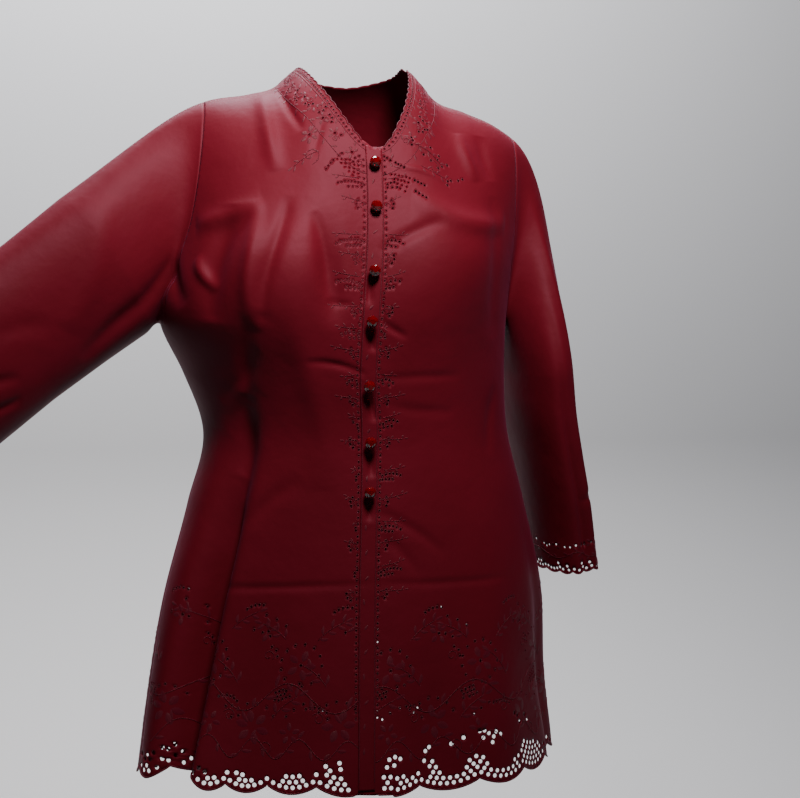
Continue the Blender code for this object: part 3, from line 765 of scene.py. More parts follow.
def addSpray(design, table, anchor, heading, length, pairs, size, bend=0.0, tips=False):
    # A stem with leaves in turn on both sides, and eyelets past the tips if asked for.
    anchor = np.asarray(anchor, float)
    t = np.linspace(0.0, 1.0, 12)
    path = localFlat(table, np.broadcast_to(anchor, (12, 2)), heading, t * length, bend * t * t * length)
    design["cords"].append((path, stitch["cordRadius"]))
    for number in range(pairs * 2):
        at = (number + 0.6) / (pairs * 2)
        side = 1 if number % 2 else -1
        start = localFlat(table, anchor, heading, at * length, bend * at * at * length)
        way = heading + math.atan(2 * bend * at) + side * 0.85
        addLeaf(design, start, way, size, size * 0.42, side * size * 0.08)
        if tips:
            addEyelet(design, localFlat(table, start, way, size + 0.0022, 0.0))
    addLeaf(design, path[-1], heading + math.atan(2 * bend), size, size * 0.42)


def addCurl(design, table, anchor, heading, radius, turns, hand, dots=0):
    # A tendril that winds inwards, with eyelets along its outside.
    anchor = np.asarray(anchor, float)
    t = np.linspace(0.0, 1.0, 26)
    turn = hand * t * turns * 2 * math.pi
    reach = radius * (1 - 0.72 * t)
    along = radius * np.sin(np.abs(turn[:1])) + reach * np.sin(turn) * hand
    across = hand * (radius - reach * np.cos(turn))
    path = localFlat(table, np.broadcast_to(anchor, (26, 2)), heading, along, across)
    design["cords"].append((path, stitch["cordRadius"]))
    for number in range(dots):
        turn = hand * (0.12 + number * 0.11) * 2 * math.pi
        along = (radius + 0.0030) * math.sin(turn) * hand
        across = hand * (radius - (radius + 0.0030) * math.cos(turn))
        addEyelet(design, localFlat(table, anchor, heading, along, across))


def addDots(design, table, start, end, pitch, bow=0.0, radius=None):
    # A row of eyelets from one flat point to another, with a sag across.
    start = np.asarray(start, float)
    run = (np.asarray(end, float) - start) * readTable(table, "metric", start)
    length = float(np.linalg.norm(run))
    heading = math.atan2(run[1], run[0])
    count = max(int(length / pitch), 1)
    for number in range(count + 1):
        t = number / count
        addEyelet(design, localFlat(table, start, heading, t * length, bow * 4 * t * (1 - t)), radius)


def addVine(design, base, lowX, highX, height, swing, wave, phase, size):
    # A waving stem over the hem, with leaves in turn on its two sides.
    x = np.arange(lowX, highX, 0.003)
    path = np.stack([x, base(x) + height + swing * np.sin(2 * math.pi * x / wave + phase)], axis=1)
    design["cords"].append((path, stitch["cordRadius"] * 1.2))
    for number, at in enumerate(range(2, len(path) - 2, 4)):
        step = path[at + 1] - path[at - 1]
        side = 1 if number % 2 else -1
        heading = math.atan2(step[1], step[0]) + side * (0.75 + 0.2 * math.sin(number * 1.7))
        addLeaf(design, path[at], heading, size * (0.85 + 0.3 * (number % 3) / 2), size * 0.4, side * 0.0006)


def flatAt(degrees, level):
    return np.array([float(xOfAngle(math.radians(degrees))), float(vOfLevel(np.array(level)))])


def hemBase(x):
    # The hem's height without its scallops, in flat metres.
    turned = np.degrees(aroundFrom(angleOfX(x), 0.0))
    return vOfLevel(blouse["hemLevel"] + smoothCurve(hemRise["angle"], hemRise["rise"], turned))


hemBorder = {
    "wave": 0.094,
}


def hemPattern(design, lowX, highX):
    # Rows of flowers with eyelet rings, leafy sprays and tendrils, looser towards the top.
    wave = hemBorder["wave"]
    addVine(design, hemBase, lowX + 0.012, highX - 0.012, 0.036, 0.010, wave / 2, 0.6, 0.0110)
    addVine(design, hemBase, lowX + 0.012, highX - 0.012, 0.086, 0.014, wave, 1.9, 0.0125)
    for number in range(int((highX - lowX) / wave) + 2):
        x = lowX + wave * (number + 0.32)
        drift = chance.uniform(-0.006, 0.006, 8)
        turn = chance.uniform(0.0, 2.0, 8)
        low = hemBase(x)
        addFlower(design, bodyTable, (x + drift[0], low + 0.056 + drift[1]), 0.0180, 6, turn[0], 14)
        addFlower(design, bodyTable, (x + 0.047 + drift[2], low + 0.116 + drift[3]), 0.0160, 5, turn[1], 13)
        addFlower(design, bodyTable, (x + 0.008 + drift[4], low + 0.150), 0.0115, 5, turn[2], 0)
        addFlower(design, bodyTable, (x + 0.045 + drift[5], low + 0.050), 0.0115, 5, turn[3], 0)
        addSpray(design, bodyTable, (x + 0.022, low + 0.062), 1.0 + drift[0] * 20,
                 0.036, 3, 0.0115, -0.3, True)
        addSpray(design, bodyTable, (x - 0.016, low + 0.098), 2.0 + drift[1] * 20,
                 0.034, 3, 0.0110, 0.35, False)
        addSpray(design, bodyTable, (x + 0.034, low + 0.142), 2.3, 0.030, 3, 0.0095, 0.3, True)
        addSpray(design, bodyTable, (x + 0.066, low + 0.140), 0.9, 0.032, 3, 0.0095, -0.3, False)
        addCurl(design, bodyTable, (x + 0.018, low + 0.030), 0.3, 0.0070, 1.2, 1, 5)
        addCurl(design, bodyTable, (x - 0.030, low + 0.070), 1.2, 0.0065, 1.2, -1, 4)
        addCurl(design, bodyTable, (x + 0.020, low + 0.122), 0.7, 0.0060, 1.1, 1, 3)
        addDots(design, bodyTable, (x + 0.058, low + 0.074), (x + 0.078, low + 0.070), 0.0036, 0.003)
        addDots(design, bodyTable, (x - 0.012, low + 0.172), (x + 0.006, low + 0.176), 0.0040, 0.002)
        for row in range(3):
            start = (x + 0.026 + row * 0.0018, low + 0.090 - row * 0.0038)
            addDots(design, bodyTable, start, (start[0] + 0.0115, start[1] + 0.004), 0.0038)


# Sprigs beside the button band: level, outer angle on the right front, and on the left one.
sprigRows = {
    "level": (-0.122, -0.145, -0.177, -0.197, -0.218, -0.246, -0.268, -0.290, -0.314, -0.337,
              -0.358, -0.379, -0.410, -0.439, -0.461, -0.482, -0.506, -0.530),
    "right": (-12.8, -9.5, -11.8, -8.5, -9.8, -10.5, -8.0, -11.0, -9.5, -13.5,
              -10.0, -14.5, -10.5, -13.2, -9.5, -12.5, -9.0, -12.0),
    "left": (12.5, 9.0, 12.5, 8.0, 12.5, 11.0, 7.5, 12.8, 8.5, 11.2,
             8.0, 9.5, 7.5, 8.2, 6.5, 7.3, 5.8, 6.2),
}


def sprigPattern(design):
    for side, sign in (("right", -1.0), ("left", 1.0)):
        for number, level in enumerate(sprigRows["level"]):
            own = edgeAngle(side, np.array(level), edges["bandWidth"] / 2 + 0.0045) * sign
            inner = flatAt(math.degrees(float(own)), level)
            outer = flatAt(sprigRows[side][number], level + 0.004 * math.sin(number * 2.1))
            run = outer - inner
            length = float(np.linalg.norm(run * readTable(bodyTable, "metric", inner)))
            heading = math.atan2(run[1], run[0])
            pairs = 2 if length > 0.022 else 1
            addSpray(design, bodyTable, inner, heading, length * 0.80, pairs, 0.0052, 0.10 * sign, False)
            lower = inner - np.array([0.0, 0.0062])
            if number % 2 == 0:
                addDots(design, bodyTable, lower, lower + run * 0.75, 0.0034, 0.0022 * sign, 0.0010)
                first = lower - [0.0, 0.0034]
                last = lower + run * 0.42 - [0.0, 0.0034]
                addDots(design, bodyTable, first, last, 0.0034, 0.0, 0.0010)
            else:
                addCurl(design, bodyTable, lower, heading, 0.0034, 1.0, sign, 3)
    for side, sign in (("right", -1.0), ("left", 1.0)):
        levels = np.arange(-0.104, -0.700, -0.0062)
        for level in levels:
            own = edgeAngle(side, np.array(level), edges["bandWidth"] / 2 + 0.0022) * sign
            addEyelet(design, flatAt(math.degrees(float(own)), level), 0.00085)


def neckPath(side, away):
    # A line beside the neckline, at a real distance from it.
    line = resampled(outlines[side][2], 0.003)
    window = np.full(9, 1 / 9)
    columns = [np.convolve(np.pad(line[:, k], 4, "edge"), window, "valid") for k in (0, 1)]
    smooth = np.stack(columns, axis=1)
    metric = readTable(bodyTable, "metric", smooth)
    tangent = unitOf(np.gradient(smooth, axis=0) * metric)
    normal = np.stack([tangent[:, 1], -tangent[:, 0]], axis=1)
    if side != "right":
        normal = -normal
    return smooth + normal * away / metric


def neckPattern(design):
    for side in ("right", "left", "back"):
        for away, size, gap in ((0.0075, 0.0062, 3), (0.0300, 0.0078, 4)):
            path = neckPath(side, away)
            keep = path[:, 1] < blouse["topReach"] - 0.002
            path = path[keep]
            design["cords"].append((path, stitch["cordRadius"]))
            for number, at in enumerate(range(2, len(path) - 2, gap)):
                step = path[at + 1] - path[at - 1]
                hand = 1 if number % 2 else -1
                addLeaf(design, path[at], math.atan2(step[1], step[0]) + hand * 0.8, size, size * 0.42)
        path = neckPath(side, 0.0046)
        if side != "back":
            for at in range(1, len(path) - 1, 2):
                addEyelet(design, path[at], 0.00085)
        path = neckPath(side, 0.0185)
        for number, at in enumerate(range(4, len(path) - 3, 9)):
            if path[at, 1] < blouse["topReach"] - 0.006:
                addFlower(design, bodyTable, path[at], 0.0078, 5, number * 0.7, 0)
                addCurl(design, bodyTable, path[min(at + 3, len(path) - 1)], number * 1.1, 0.0040, 1.1, 1, 3)
    # net triangles, eyelet lines and loops beside the top button
    for row in range(5):
        start = flatAt(-10.5 + row * 1.2, -0.1040 - row * 0.0040)
        end = flatAt(-3.9, -0.1060 - row * 0.0040)
        addDots(design, bodyTable, start, end, 0.0036, 0.0, stitch["netDot"])
    for row in range(4):
        start = flatAt(6.6 + row * 0.9, -0.1180 - row * 0.0048)
        end = flatAt(12.4 - row * 0.5, -0.1220 - row * 0.0044)
        addDots(design, bodyTable, start, end, 0.0036, 0.0, stitch["netDot"])
    addDots(design, bodyTable, flatAt(3.4, -0.0985), flatAt(10.5, -0.1115), 0.0030)
    addDots(design, bodyTable, flatAt(-14.0, -0.1135), flatAt(-9.0, -0.0985), 0.0036, 0.001)
    addDots(design, bodyTable, flatAt(14.0, -0.124), flatAt(17.2, -0.128), 0.0036)
    addDots(design, bodyTable, flatAt(14.2, -0.135), flatAt(17.4, -0.141), 0.0036)
    addDots(design, bodyTable, flatAt(25.5, -0.119), flatAt(27.0, -0.112), 0.0036, 0.002)
    addDots(design, bodyTable, flatAt(30.0, -0.109), flatAt(31.8, -0.106), 0.0036, 0.002)
    addCurl(design, bodyTable, flatAt(-18.5, -0.107), 0.1, 0.0105, 0.95, 1, 0)
    addCurl(design, bodyTable, flatAt(20.0, -0.098), 0.4, 0.0080, 0.9, -1, 2)
    addFlower(design, bodyTable, flatAt(-19.0, -0.076), 0.0105, 6, 0.4, 0)
    addFlower(design, bodyTable, flatAt(19.0, -0.067), 0.0105, 6, 0.9, 0)
    addSpray(design, bodyTable, flatAt(-16.0, -0.094), 3.3, 0.028, 3, 0.0072, 0.2, False)
    addSpray(design, bodyTable, flatAt(15.0, -0.088), -0.2, 0.030, 3, 0.0072, -0.2, True)
    addSpray(design, bodyTable, flatAt(16.0, -0.108), -0.3, 0.030, 3, 0.0072, 0.15, False)


def cuffPattern(design, table, length):
    # A leafy line and eyelets over the net of the cuff.
    girth = sleeveCut["girth"]
    x = np.arange(0.0, girth + 0.001, 0.003)
    path = np.stack([x, length - 0.0215 + 0.004 * np.sin(2 * math.pi * x * 6 / girth)], axis=1)
    design["cords"].append((path, stitch["cordRadius"]))
    for number, at in enumerate(range(2, len(path) - 2, 3)):
        step = path[at + 1] - path[at - 1]
        hand = 1 if number % 2 else -1
        addLeaf(design, path[at], math.atan2(step[1], step[0]) + hand * 0.8, 0.0066, 0.0028)
    for number in range(12):
        at = np.array([girth * (number + 0.5) / 12, length - 0.0335])
        addFlower(design, table, at, 0.0066, 5, number * 0.9, 0)
        addDots(design, table, at + [0.011, 0.002], at + [0.020, 0.002], 0.0038, 0.002)


# Cutwork net of the hem: rows of round holes that follow the scallops.
hemNet = {
    "pitch": 0.0064,
    "rowStep": 0.0055,
    "firstRow": 0.0068,
    "radius": 0.00225,
    "sides": 10,
    "bareHalf": 0.0165,
    "rimRadius": 0.0010,
    "bar": 0.0007,
}
# Rows of net at each angle of the two fronts.
netRows = {
    "angle": (-60.0, -56.0, -52.5, -50.0, -46.0, -42.0, -39.0, -31.0, -28.0, -25.0, -22.0, -19.5,
              -16.0, -14.0, -11.0, -9.8, -8.4, -1.0, 2.0, 4.5, 10.0, 11.5, 13.5, 15.0, 20.0, 22.0, 26.0,
              28.0, 31.0, 34.0, 38.0, 43.0, 50.0, 55.0),
    "rows": (2, 4, 2, 2, 3, 3, 2, 2, 3, 3, 1, 3,
             4, 3, 2, 2, 5, 3, 3, 2, 2, 5, 4, 2, 2, 4, 4,
             2, 2, 2, 3, 5, 5, 2),
}
# Loose holes above the net: angle and height over the scallops.
looseHoles = (
    (-17.2, 0.026), (-13.4, 0.027), (-13.6, 0.033), (-1.4, 0.0275), (0.6, 0.031), (2.4, 0.036),
    (-0.6, 0.035), (1.0, 0.039), (10.0, 0.038), (11.2, 0.043), (9.4, 0.0275), (17.4, 0.046),
    (20.8, 0.048), (19.9, 0.052), (25.4, 0.050), (26.8, 0.052), (28.0, 0.050), (27.4, 0.057),
    (29.4, 0.047), (30.4, 0.052), (28.8, 0.041), (26.2, 0.044), (31.8, 0.049), (39.2, 0.060),
    (40.4, 0.054), (41.2, 0.048), (45.0, 0.058), (46.4, 0.054), (45.8, 0.050),
)


def hemHoles(lowAngle, highAngle):
    lowX = float(xOfAngle(lowAngle))
    highX = float(xOfAngle(highAngle))
    found = []
    for row in range(6):
        x = np.arange(lowX + 0.004 + hemNet["pitch"] / 2 * (row % 2), highX - 0.004, hemNet["pitch"])
        angle = angleOfX(x)
        degrees = np.degrees(aroundFrom(angle, 0.0))
        rows = np.interp(degrees, netRows["angle"], netRows["rows"])
        hidden = 2.0 + 1.3 * np.abs(np.sin(x * 31.0)) + 0.8 * np.sin(x * 74.0)
        rows = np.where(np.abs(degrees + 2) > 57, hidden, rows)
        height = hemNet["firstRow"] + row * hemNet["rowStep"]
        level = np.full(x.shape, blouse["hemLevel"])
        beside = aroundFrom(angle, 0.0) - angleAtX(section("centreFrontX", level), level)
        keep = (row < np.round(rows)) & (np.abs(beside) * section("halfWidth", level) > hemNet["bareHalf"])
        found.append(np.stack([x, vOfLevel(hemLevelAt(angle)) + height], axis=1)[keep])
    loose = np.array(looseHoles)
    angle = np.radians(loose[:, 0])
    loose = np.stack([xOfAngle(angle), vOfLevel(hemLevelAt(angle)) + loose[:, 1]], axis=1)
    found.append(loose[(angle > lowAngle) & (angle < highAngle)])
    centres = np.concatenate(found)
    return np.column_stack([centres, np.full(len(centres), hemNet["radius"])])


def holeTable(table, rows):
    # Round holes in real metres, as rows for cutSheet. One that crowds an earlier one is left out.
    keep = []
    metric = readTable(table, "metric", rows[:, :2])
    for index, row in enumerate(rows):
        if keep:
            gaps = np.linalg.norm((rows[keep, :2] - row[:2]) * metric[index], axis=1) - rows[keep, 2]
            if gaps.min() < row[2] + hemNet["bar"]:
                continue
        keep.append(index)
    rows = rows[keep]
    metric = metric[keep]
    return np.column_stack([rows[:, :2], rows[:, 2:3] / metric, np.full(len(rows), float(hemNet["sides"]))])


def within(points, outline, margin):
    return insideOf(points, outline) & (nearestGap(points, outline) > margin)


threadColour = "#620e24"


def threadMaterial():
    # Trilobal embroidery thread: shinier than the crepe, a little bluer, with stitch lines across.
    material, tree, shader = newMaterial("embroidery thread", {
        "Base Color": linearOf(threadColour),
        "Roughness": 0.50,
        "Specular IOR Level": 0.26,
        "Sheen Weight": 0.10,
        "Sheen Tint": linearOf("#d890a4"),
    })
    # Real stitches lie 0.3 mm apart; they are drawn 0.7 mm apart, the finest that shows.
    place = addNode(tree, "ShaderNodeUVMap", {"uv_map": "cloth"})
    # A wave texture of scale 1 has a stripe every 0.314 m.
    settings = {"Scale": 0.314 / stitch["threadPitch"], "Distortion": 0.6}
    stitches = addNode(tree, "ShaderNodeTexWave", settings, {"Vector": place.outputs["UV"]})
    bump = addNode(tree, "ShaderNodeBump", {"Strength": 0.35, "Distance": 0.0003}, {
        "Height": stitches.outputs["Fac"]})
    tree.links.new(bump.outputs["Normal"], shader.inputs["Normal"])
    return material


embroideryThread = threadMaterial()


def gridFaces(rows, columns):
    first = np.arange(rows - 1)[:, None] * columns + np.arange(columns - 1)
    return np.stack([first, first + 1, first + columns + 1, first + columns], axis=-1).reshape(-1, 4)


def leafParts(table, leaves):
    # Low domes with a groove along the middle, whose edges are sunk in the cloth.
    t = np.linspace(0.02, 0.98, stitch["leafRows"])[:, None]
    s = np.linspace(-1.0, 1.0, stitch["leafColumns"])[None, :]
    row = leaves[:, None, None, :]
    outline = np.sin(math.pi * t) ** 0.75
    along = row[..., 3] * t + 0 * s
    across = row[..., 4] / 2 * outline * s + row[..., 5] * 4 * t * (1 - t)
    dome = (1 - s**2) * outline**0.6 - 0.35 * np.exp(-((s / 0.3) ** 2)) * outline
    height = stitch["leafHeight"] * 1.5 * dome - stitch["sunkEdge"] + 0 * along
    anchor = np.broadcast_to(row[..., :2], along.shape + (2,))
    points = onCloth(table, localFlat(table, anchor, row[..., 2], along, across), height)
    count = stitch["leafRows"] * stitch["leafColumns"]
    faces = gridFaces(stitch["leafRows"], stitch["leafColumns"])[:, ::-1]
    faces = (np.arange(len(leaves))[:, None, None] * count + faces).reshape(-1, 4)
    return points.reshape(-1, 3), faces, np.stack([along, across], axis=-1).reshape(-1, 2)


def rimParts(table, holes):
    # Overcast rims: each a ring whose inner edge goes down into its hole.
    sides = hemNet["sides"]
    turn = np.arange(sides) * 2 * math.pi / sides
    rise = np.array([-0.0005, 0.00022, 0.00032, -0.00012])
    reach = np.array([0.0, 0.00008, 0.5, 1.0])
    reach[1:] = reach[1:] * stitch["eyeletRim"]
    corner = np.stack([np.cos(turn), np.sin(turn)], axis=1)
    metric = readTable(table, "metric", holes[:, :2])
    radius = holes[:, 2:4][:, None, None, :] + reach[None, :, None, None] / metric[:, None, None, :]
    flat = holes[:, :2][:, None, None, :] + radius * corner[None, None]
    points = onCloth(table, flat, np.broadcast_to(rise[None, :, None], flat.shape[:3]))
    first = np.arange(3)[:, None] * sides + np.arange(sides)
    second = np.arange(3)[:, None] * sides + np.roll(np.arange(sides), -1)
    faces = np.stack([first, first + sides, second + sides, second], axis=-1).reshape(-1, 4)
    faces = (np.arange(len(holes))[:, None, None] * sides * 4 + faces).reshape(-1, 4)
    along = np.broadcast_to((turn * 0.002)[None, None, :], flat.shape[:3])
    return points.reshape(-1, 3), faces, np.stack([along, along * 0], axis=-1).reshape(-1, 2)


def cordParts(table, path, radius):
    # A round cord carried along a flat path, half sunk in the cloth, closed at both ends.
    sides = stitch["cordSides"]
    middle = onCloth(table, path, np.zeros(len(path)))
    normal = unitOf(readTable(table, "normals", path))
    forward = unitOf(np.gradient(middle, axis=0))
    beside = unitOf(np.cross(forward, normal))
    size = np.full(len(path), radius)
    size[[0, -1]] = radius * 0.1
    turn = np.arange(sides) * 2 * math.pi / sides
    ring = beside[:, None] * np.cos(turn)[None, :, None] + normal[:, None] * np.sin(turn)[None, :, None]
    points = middle[:, None] + ring * size[:, None, None]
    first = np.arange(len(path) - 1)[:, None] * sides + np.arange(sides)
    second = np.arange(len(path) - 1)[:, None] * sides + np.roll(np.arange(sides), -1)
    faces = np.stack([first, second, second + sides, first + sides], axis=-1).reshape(-1, 4)
    run = np.concatenate([[0.0], np.cumsum(np.linalg.norm(np.diff(middle, axis=0), axis=1))])
    flat = np.stack(np.broadcast_arrays(run[:, None], turn[None, :] * radius), axis=-1)
    return points.reshape(-1, 3), faces, flat.reshape(-1, 2)


def makeStitches(name, table, design, rims, holes, outline=None):
    # One joined mesh of all the stitching on one piece of cloth.
    leaves = np.array(design["leaves"])
    clear = np.ones(len(leaves), bool)
    for share in (0.15, 0.5, 0.85):
        at = localFlat(table, leaves[:, :2], leaves[:, 2], leaves[:, 3] * share, 0.0 * leaves[:, 3])
        clear &= gapToHoles(at, holes) > leaves[:, 4] * 0.30
        if outline is not None:
            clear &= within(at, outline, 0.0022)
    parts = [leafParts(table, leaves[clear])]
    if len(rims):
        parts.append(rimParts(table, rims))
    for path, radius in design["cords"]:
        parts.append(cordParts(table, path, radius))
    points = []
    faces = []
    flats = []
    start = 0
    for part, partFaces, flat in parts:
        points.append(part)
        faces.append(partFaces + start)
        flats.append(flat)
        start += len(part)
    points = np.concatenate(points)
    item = newMesh(name, points, np.concatenate(faces), embroideryThread, np.concatenate(flats))
    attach(item, "root")
    print(name, len(leaves[clear]), "leaves,", len(rims), "eyelets,", len(design["cords"]), "cords")
    return item


def pathPieces(path, outline, margin):
    # The runs of a path that lie inside the outline.
    keep = within(path, outline, margin)
    steps = np.flatnonzero(np.diff(np.concatenate([[0], keep.astype(int), [0]])))
    runs = [path[a:b] for a, b in zip(steps[::2], steps[1::2])]
    return [run for run in runs if len(run) > 4]


def makePanel(name, node, outline, net, whole, rim, under, step):
    border = outline
    eyelets = np.array(whole["eyelets"])
    metric = readTable(bodyTable, "metric", eyelets[:, :2])
    eyelets = eyelets[within(eyelets[:, :2], border, 0.0032) & (metric.min(axis=1) > 0.3)]
    eyelets = eyelets[eyelets[:, 1] > hemBase(eyelets[:, 0]) + stitch["blindBelow"]]
    if name == "backPanel":
        eyelets = eyelets[levelOfV(eyelets[:, 1]) < stitch["backEyelets"]]
    else:
        level = levelOfV(eyelets[:, 1])
        away = aroundFrom(angleOfX(eyelets[:, 0]), 0.0) - angleAtX(section("centreFrontX", level), level)
        eyelets = eyelets[np.abs(away) * section("halfWidth", level) > edges["bandWidth"] / 2 + 0.0012]
    holes = holeTable(bodyTable, np.concatenate([net, eyelets]))
    flat, triangles = cutSheet(outline, holes, step)
    angle = angleOfX(flat[:, 0])
    level = levelOfV(flat[:, 1])
    points = clothBody(angle, level)
    outwards = outwardOf(clothBody, angle, level, top=-0.00002)
    if under:
        points = points - outwards * underlapLift(angle, level)[:, None]
    item = clothPiece(name, flat, triangles, points, outwards, crepeCloth)
    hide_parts(node)
    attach(item, "root")
    own = newDesign()
    own["leaves"] = whole["leaves"]
    for path, radius in whole["cords"]:
        for run in pathPieces(path, outline, 0.0015):
            own["cords"].append((run, radius))
    for path, radius in rim:
        own["cords"].append((path, radius))
    size = holes[:, 2] * readTable(bodyTable, "metric", holes[:, :2])[:, 0]
    rims = holes[(size < hemNet["radius"] * 0.9) & (size > stitch["netDot"] * 1.02)]
    stitches = makeStitches(name + "Embroidery", bodyTable, own, rims, holes, visibleOutline(name, outline))
    print(name, len(triangles), "triangles,", len(holes), "holes")


def visibleOutline(name, outline):
    # The part of a front that the band leaves free, so that no stitching lies under it.
    if name == "backPanel":
        return outline
    level = levelOfV(outline[:, 1])
    side = "right" if name == "frontRight" else "left"
    sign = -1.0 if side == "right" else 1.0
    limit = edgeAngle(side, level, edges["bandWidth"] / 2 + 0.0006)
    own = np.maximum(angleOfX(outline[:, 0]) * sign, limit)
    return np.stack([xOfAngle(own * sign), outline[:, 1]], axis=1)


outlines = {}
for side in ("right", "left"):
    outlines[side] = frontOutline(side)
outlines["back"] = backOutline()
centreHem = float(angleAtX(-0.017, np.array(-0.727)))
panelFacts = {
    "right": ("frontRight", "front_right", (-math.pi / 2, centreHem + 0.03), (0.40, 0.76), 0.180),
    "left": ("frontLeft", "front_left", (centreHem - 0.03, math.pi / 2), (0.40, 0.76), 0.185),
    "back": ("backPanel", "back", (math.pi / 2, math.pi * 1.5), (0.62, 0.75), 0.340),
}
wholeDesign = newDesign()
neckPattern(wholeDesign)
sprigPattern(wholeDesign)
hemPattern(wholeDesign, float(xOfAngle(-math.pi / 2)) + 0.002, float(xOfAngle(math.pi * 1.5)) - 0.002)
for key, (name, node, span, flatSize, area) in panelFacts.items():
    rim = [
        (resampled(outlines[key][1], 0.0022) + [0.0, 0.0004], hemNet["rimRadius"]),
        (resampled(outlines[key][2], 0.0016) - [0.0, 0.0004], 0.0007),
    ]
    if key != "back":
        level = levelOfV(rim[0][0][:, 1])
        sign = -1.0 if key == "right" else 1.0
        shown = angleOfX(rim[0][0][:, 0]) * sign > edgeAngle(key, level, edges["bandWidth"] / 2 + 0.001)
        rim[0] = (rim[0][0][shown], rim[0][1])
        level = levelOfV(rim[1][0][:, 1])
        shown = angleOfX(rim[1][0][:, 0]) * sign > edgeAngle(key, level, edges["bandWidth"] / 2 + 0.001)
        rim[1] = (rim[1][0][shown], rim[1][1])
    makePanel(name, node, outlines[key][0], hemHoles(*span), wholeDesign, rim,
              key == "left", 0.0033 if key == "back" else 0.0027)

# Sleeves: a cap that turns from the armhole into the arm, then oval rings down to the cuff.
sleeves = {
    "right": {
        "x": (-0.262, -0.308, -0.354, -0.400, -0.445, -0.490),
        "y": (-0.016, -0.032, -0.048, -0.065, -0.084, -0.104),
        "z": (-0.208, -0.243, -0.279, -0.319, -0.364, -0.412),
        "halfHigh": (0.084, 0.081, 0.079, 0.078, 0.076, 0.074),
        "halfDeep": (0.047, 0.041, 0.037, 0.035, 0.033, 0.032),
        "top": (0.35, 0.0, 1.0),
        "name": "sleeveRight",
        "node": "sleeve_right",
        "area": 0.165,
    },
    "left": {
        "x": (0.203, 0.209, 0.219, 0.230, 0.239, 0.246),
        "y": (0.012, 0.018, 0.024, 0.031, 0.038, 0.044),
        "z": (-0.312, -0.357, -0.402, -0.446, -0.488, -0.528),
        "halfHigh": (0.028, 0.029, 0.030, 0.032, 0.033, 0.034),
        "halfDeep": (0.081, 0.080, 0.078, 0.076, 0.074, 0.073),
        "top": (1.0, 0.1, 0.15),
        "name": "sleeveLeft",
        "node": "sleeve_left",
        "area": 0.140,
    },
}
sleeveCut = {
    "seamGap": 0.0003,
    "seamBlur": 24,
    "girth": 0.40,
    "capLength": 0.10,
    "capPull": 0.65,
    "armPull": 1.1,
    "cuffScallop": 0.021,
    "cuffDepth": 0.0032,
    "netPitch": 0.0047,
    "netRadius": 0.0016,
    "rimRadius": 0.0008,
}
# Creases of each sleeve, in flat metres: round it, down it, to round, to down, bow, width, height, lean.
sleeveCreases = {
    "right": (
        (0.094, 0.318, 0.119, 0.244, 0.004, 0.0050, -0.0030, 0.4),
        (0.118, 0.302, 0.136, 0.254, -0.003, 0.0045, -0.0026, 0.4),
        (0.075, 0.250, 0.100, 0.190, 0.003, 0.0080, -0.0016, 0.2),
        (0.020, 0.330, 0.110, 0.345, 0.006, 0.0045, -0.0030, 0.4),
        (0.035, 0.360, 0.105, 0.350, -0.004, 0.0045, -0.0028, 0.4),
        (0.060, 0.300, 0.130, 0.325, 0.004, 0.0060, -0.0022, 0.2),
        (0.040, 0.080, 0.110, 0.180, 0.010, 0.0120, 0.0030, 0.0),
        (0.130, 0.030, 0.140, 0.180, -0.006, 0.0090, -0.0040, 0.3),
        (0.250, 0.310, 0.350, 0.340, 0.006, 0.0060, -0.0030, 0.3),
        (0.260, 0.080, 0.300, 0.220, 0.006, 0.0100, -0.0036, 0.3),
    ),
    "left": (
        (0.060, 0.020, 0.075, 0.440, 0.008, 0.0100, 0.0040, 0.2),
        (0.105, 0.060, 0.100, 0.430, -0.006, 0.0120, -0.0050, 0.2),
        (0.030, 0.235, 0.095, 0.245, 0.004, 0.0050, -0.0020, 0.4),
        (0.020, 0.280, 0.080, 0.300, 0.005, 0.0060, -0.0016, 0.3),
        (0.250, 0.220, 0.340, 0.240, 0.006, 0.0060, -0.0030, 0.3),
        (0.280, 0.060, 0.300, 0.380, 0.006, 0.0120, -0.0040, 0.2),
    ),
}


def softened(rows, reach):
    # Each row of a closed loop becomes a bell weighted mean of its neighbours.
    shifts = np.arange(-reach, reach + 1)
    weights = np.exp(-0.5 * (2.2 * shifts / reach) ** 2)
    weights = weights / weights.sum()
    ring = rows[:-1]
    ring = sum(weight * np.roll(ring, int(shift), axis=0) for shift, weight in zip(shifts, weights))
    return np.concatenate([ring, ring[:1]])


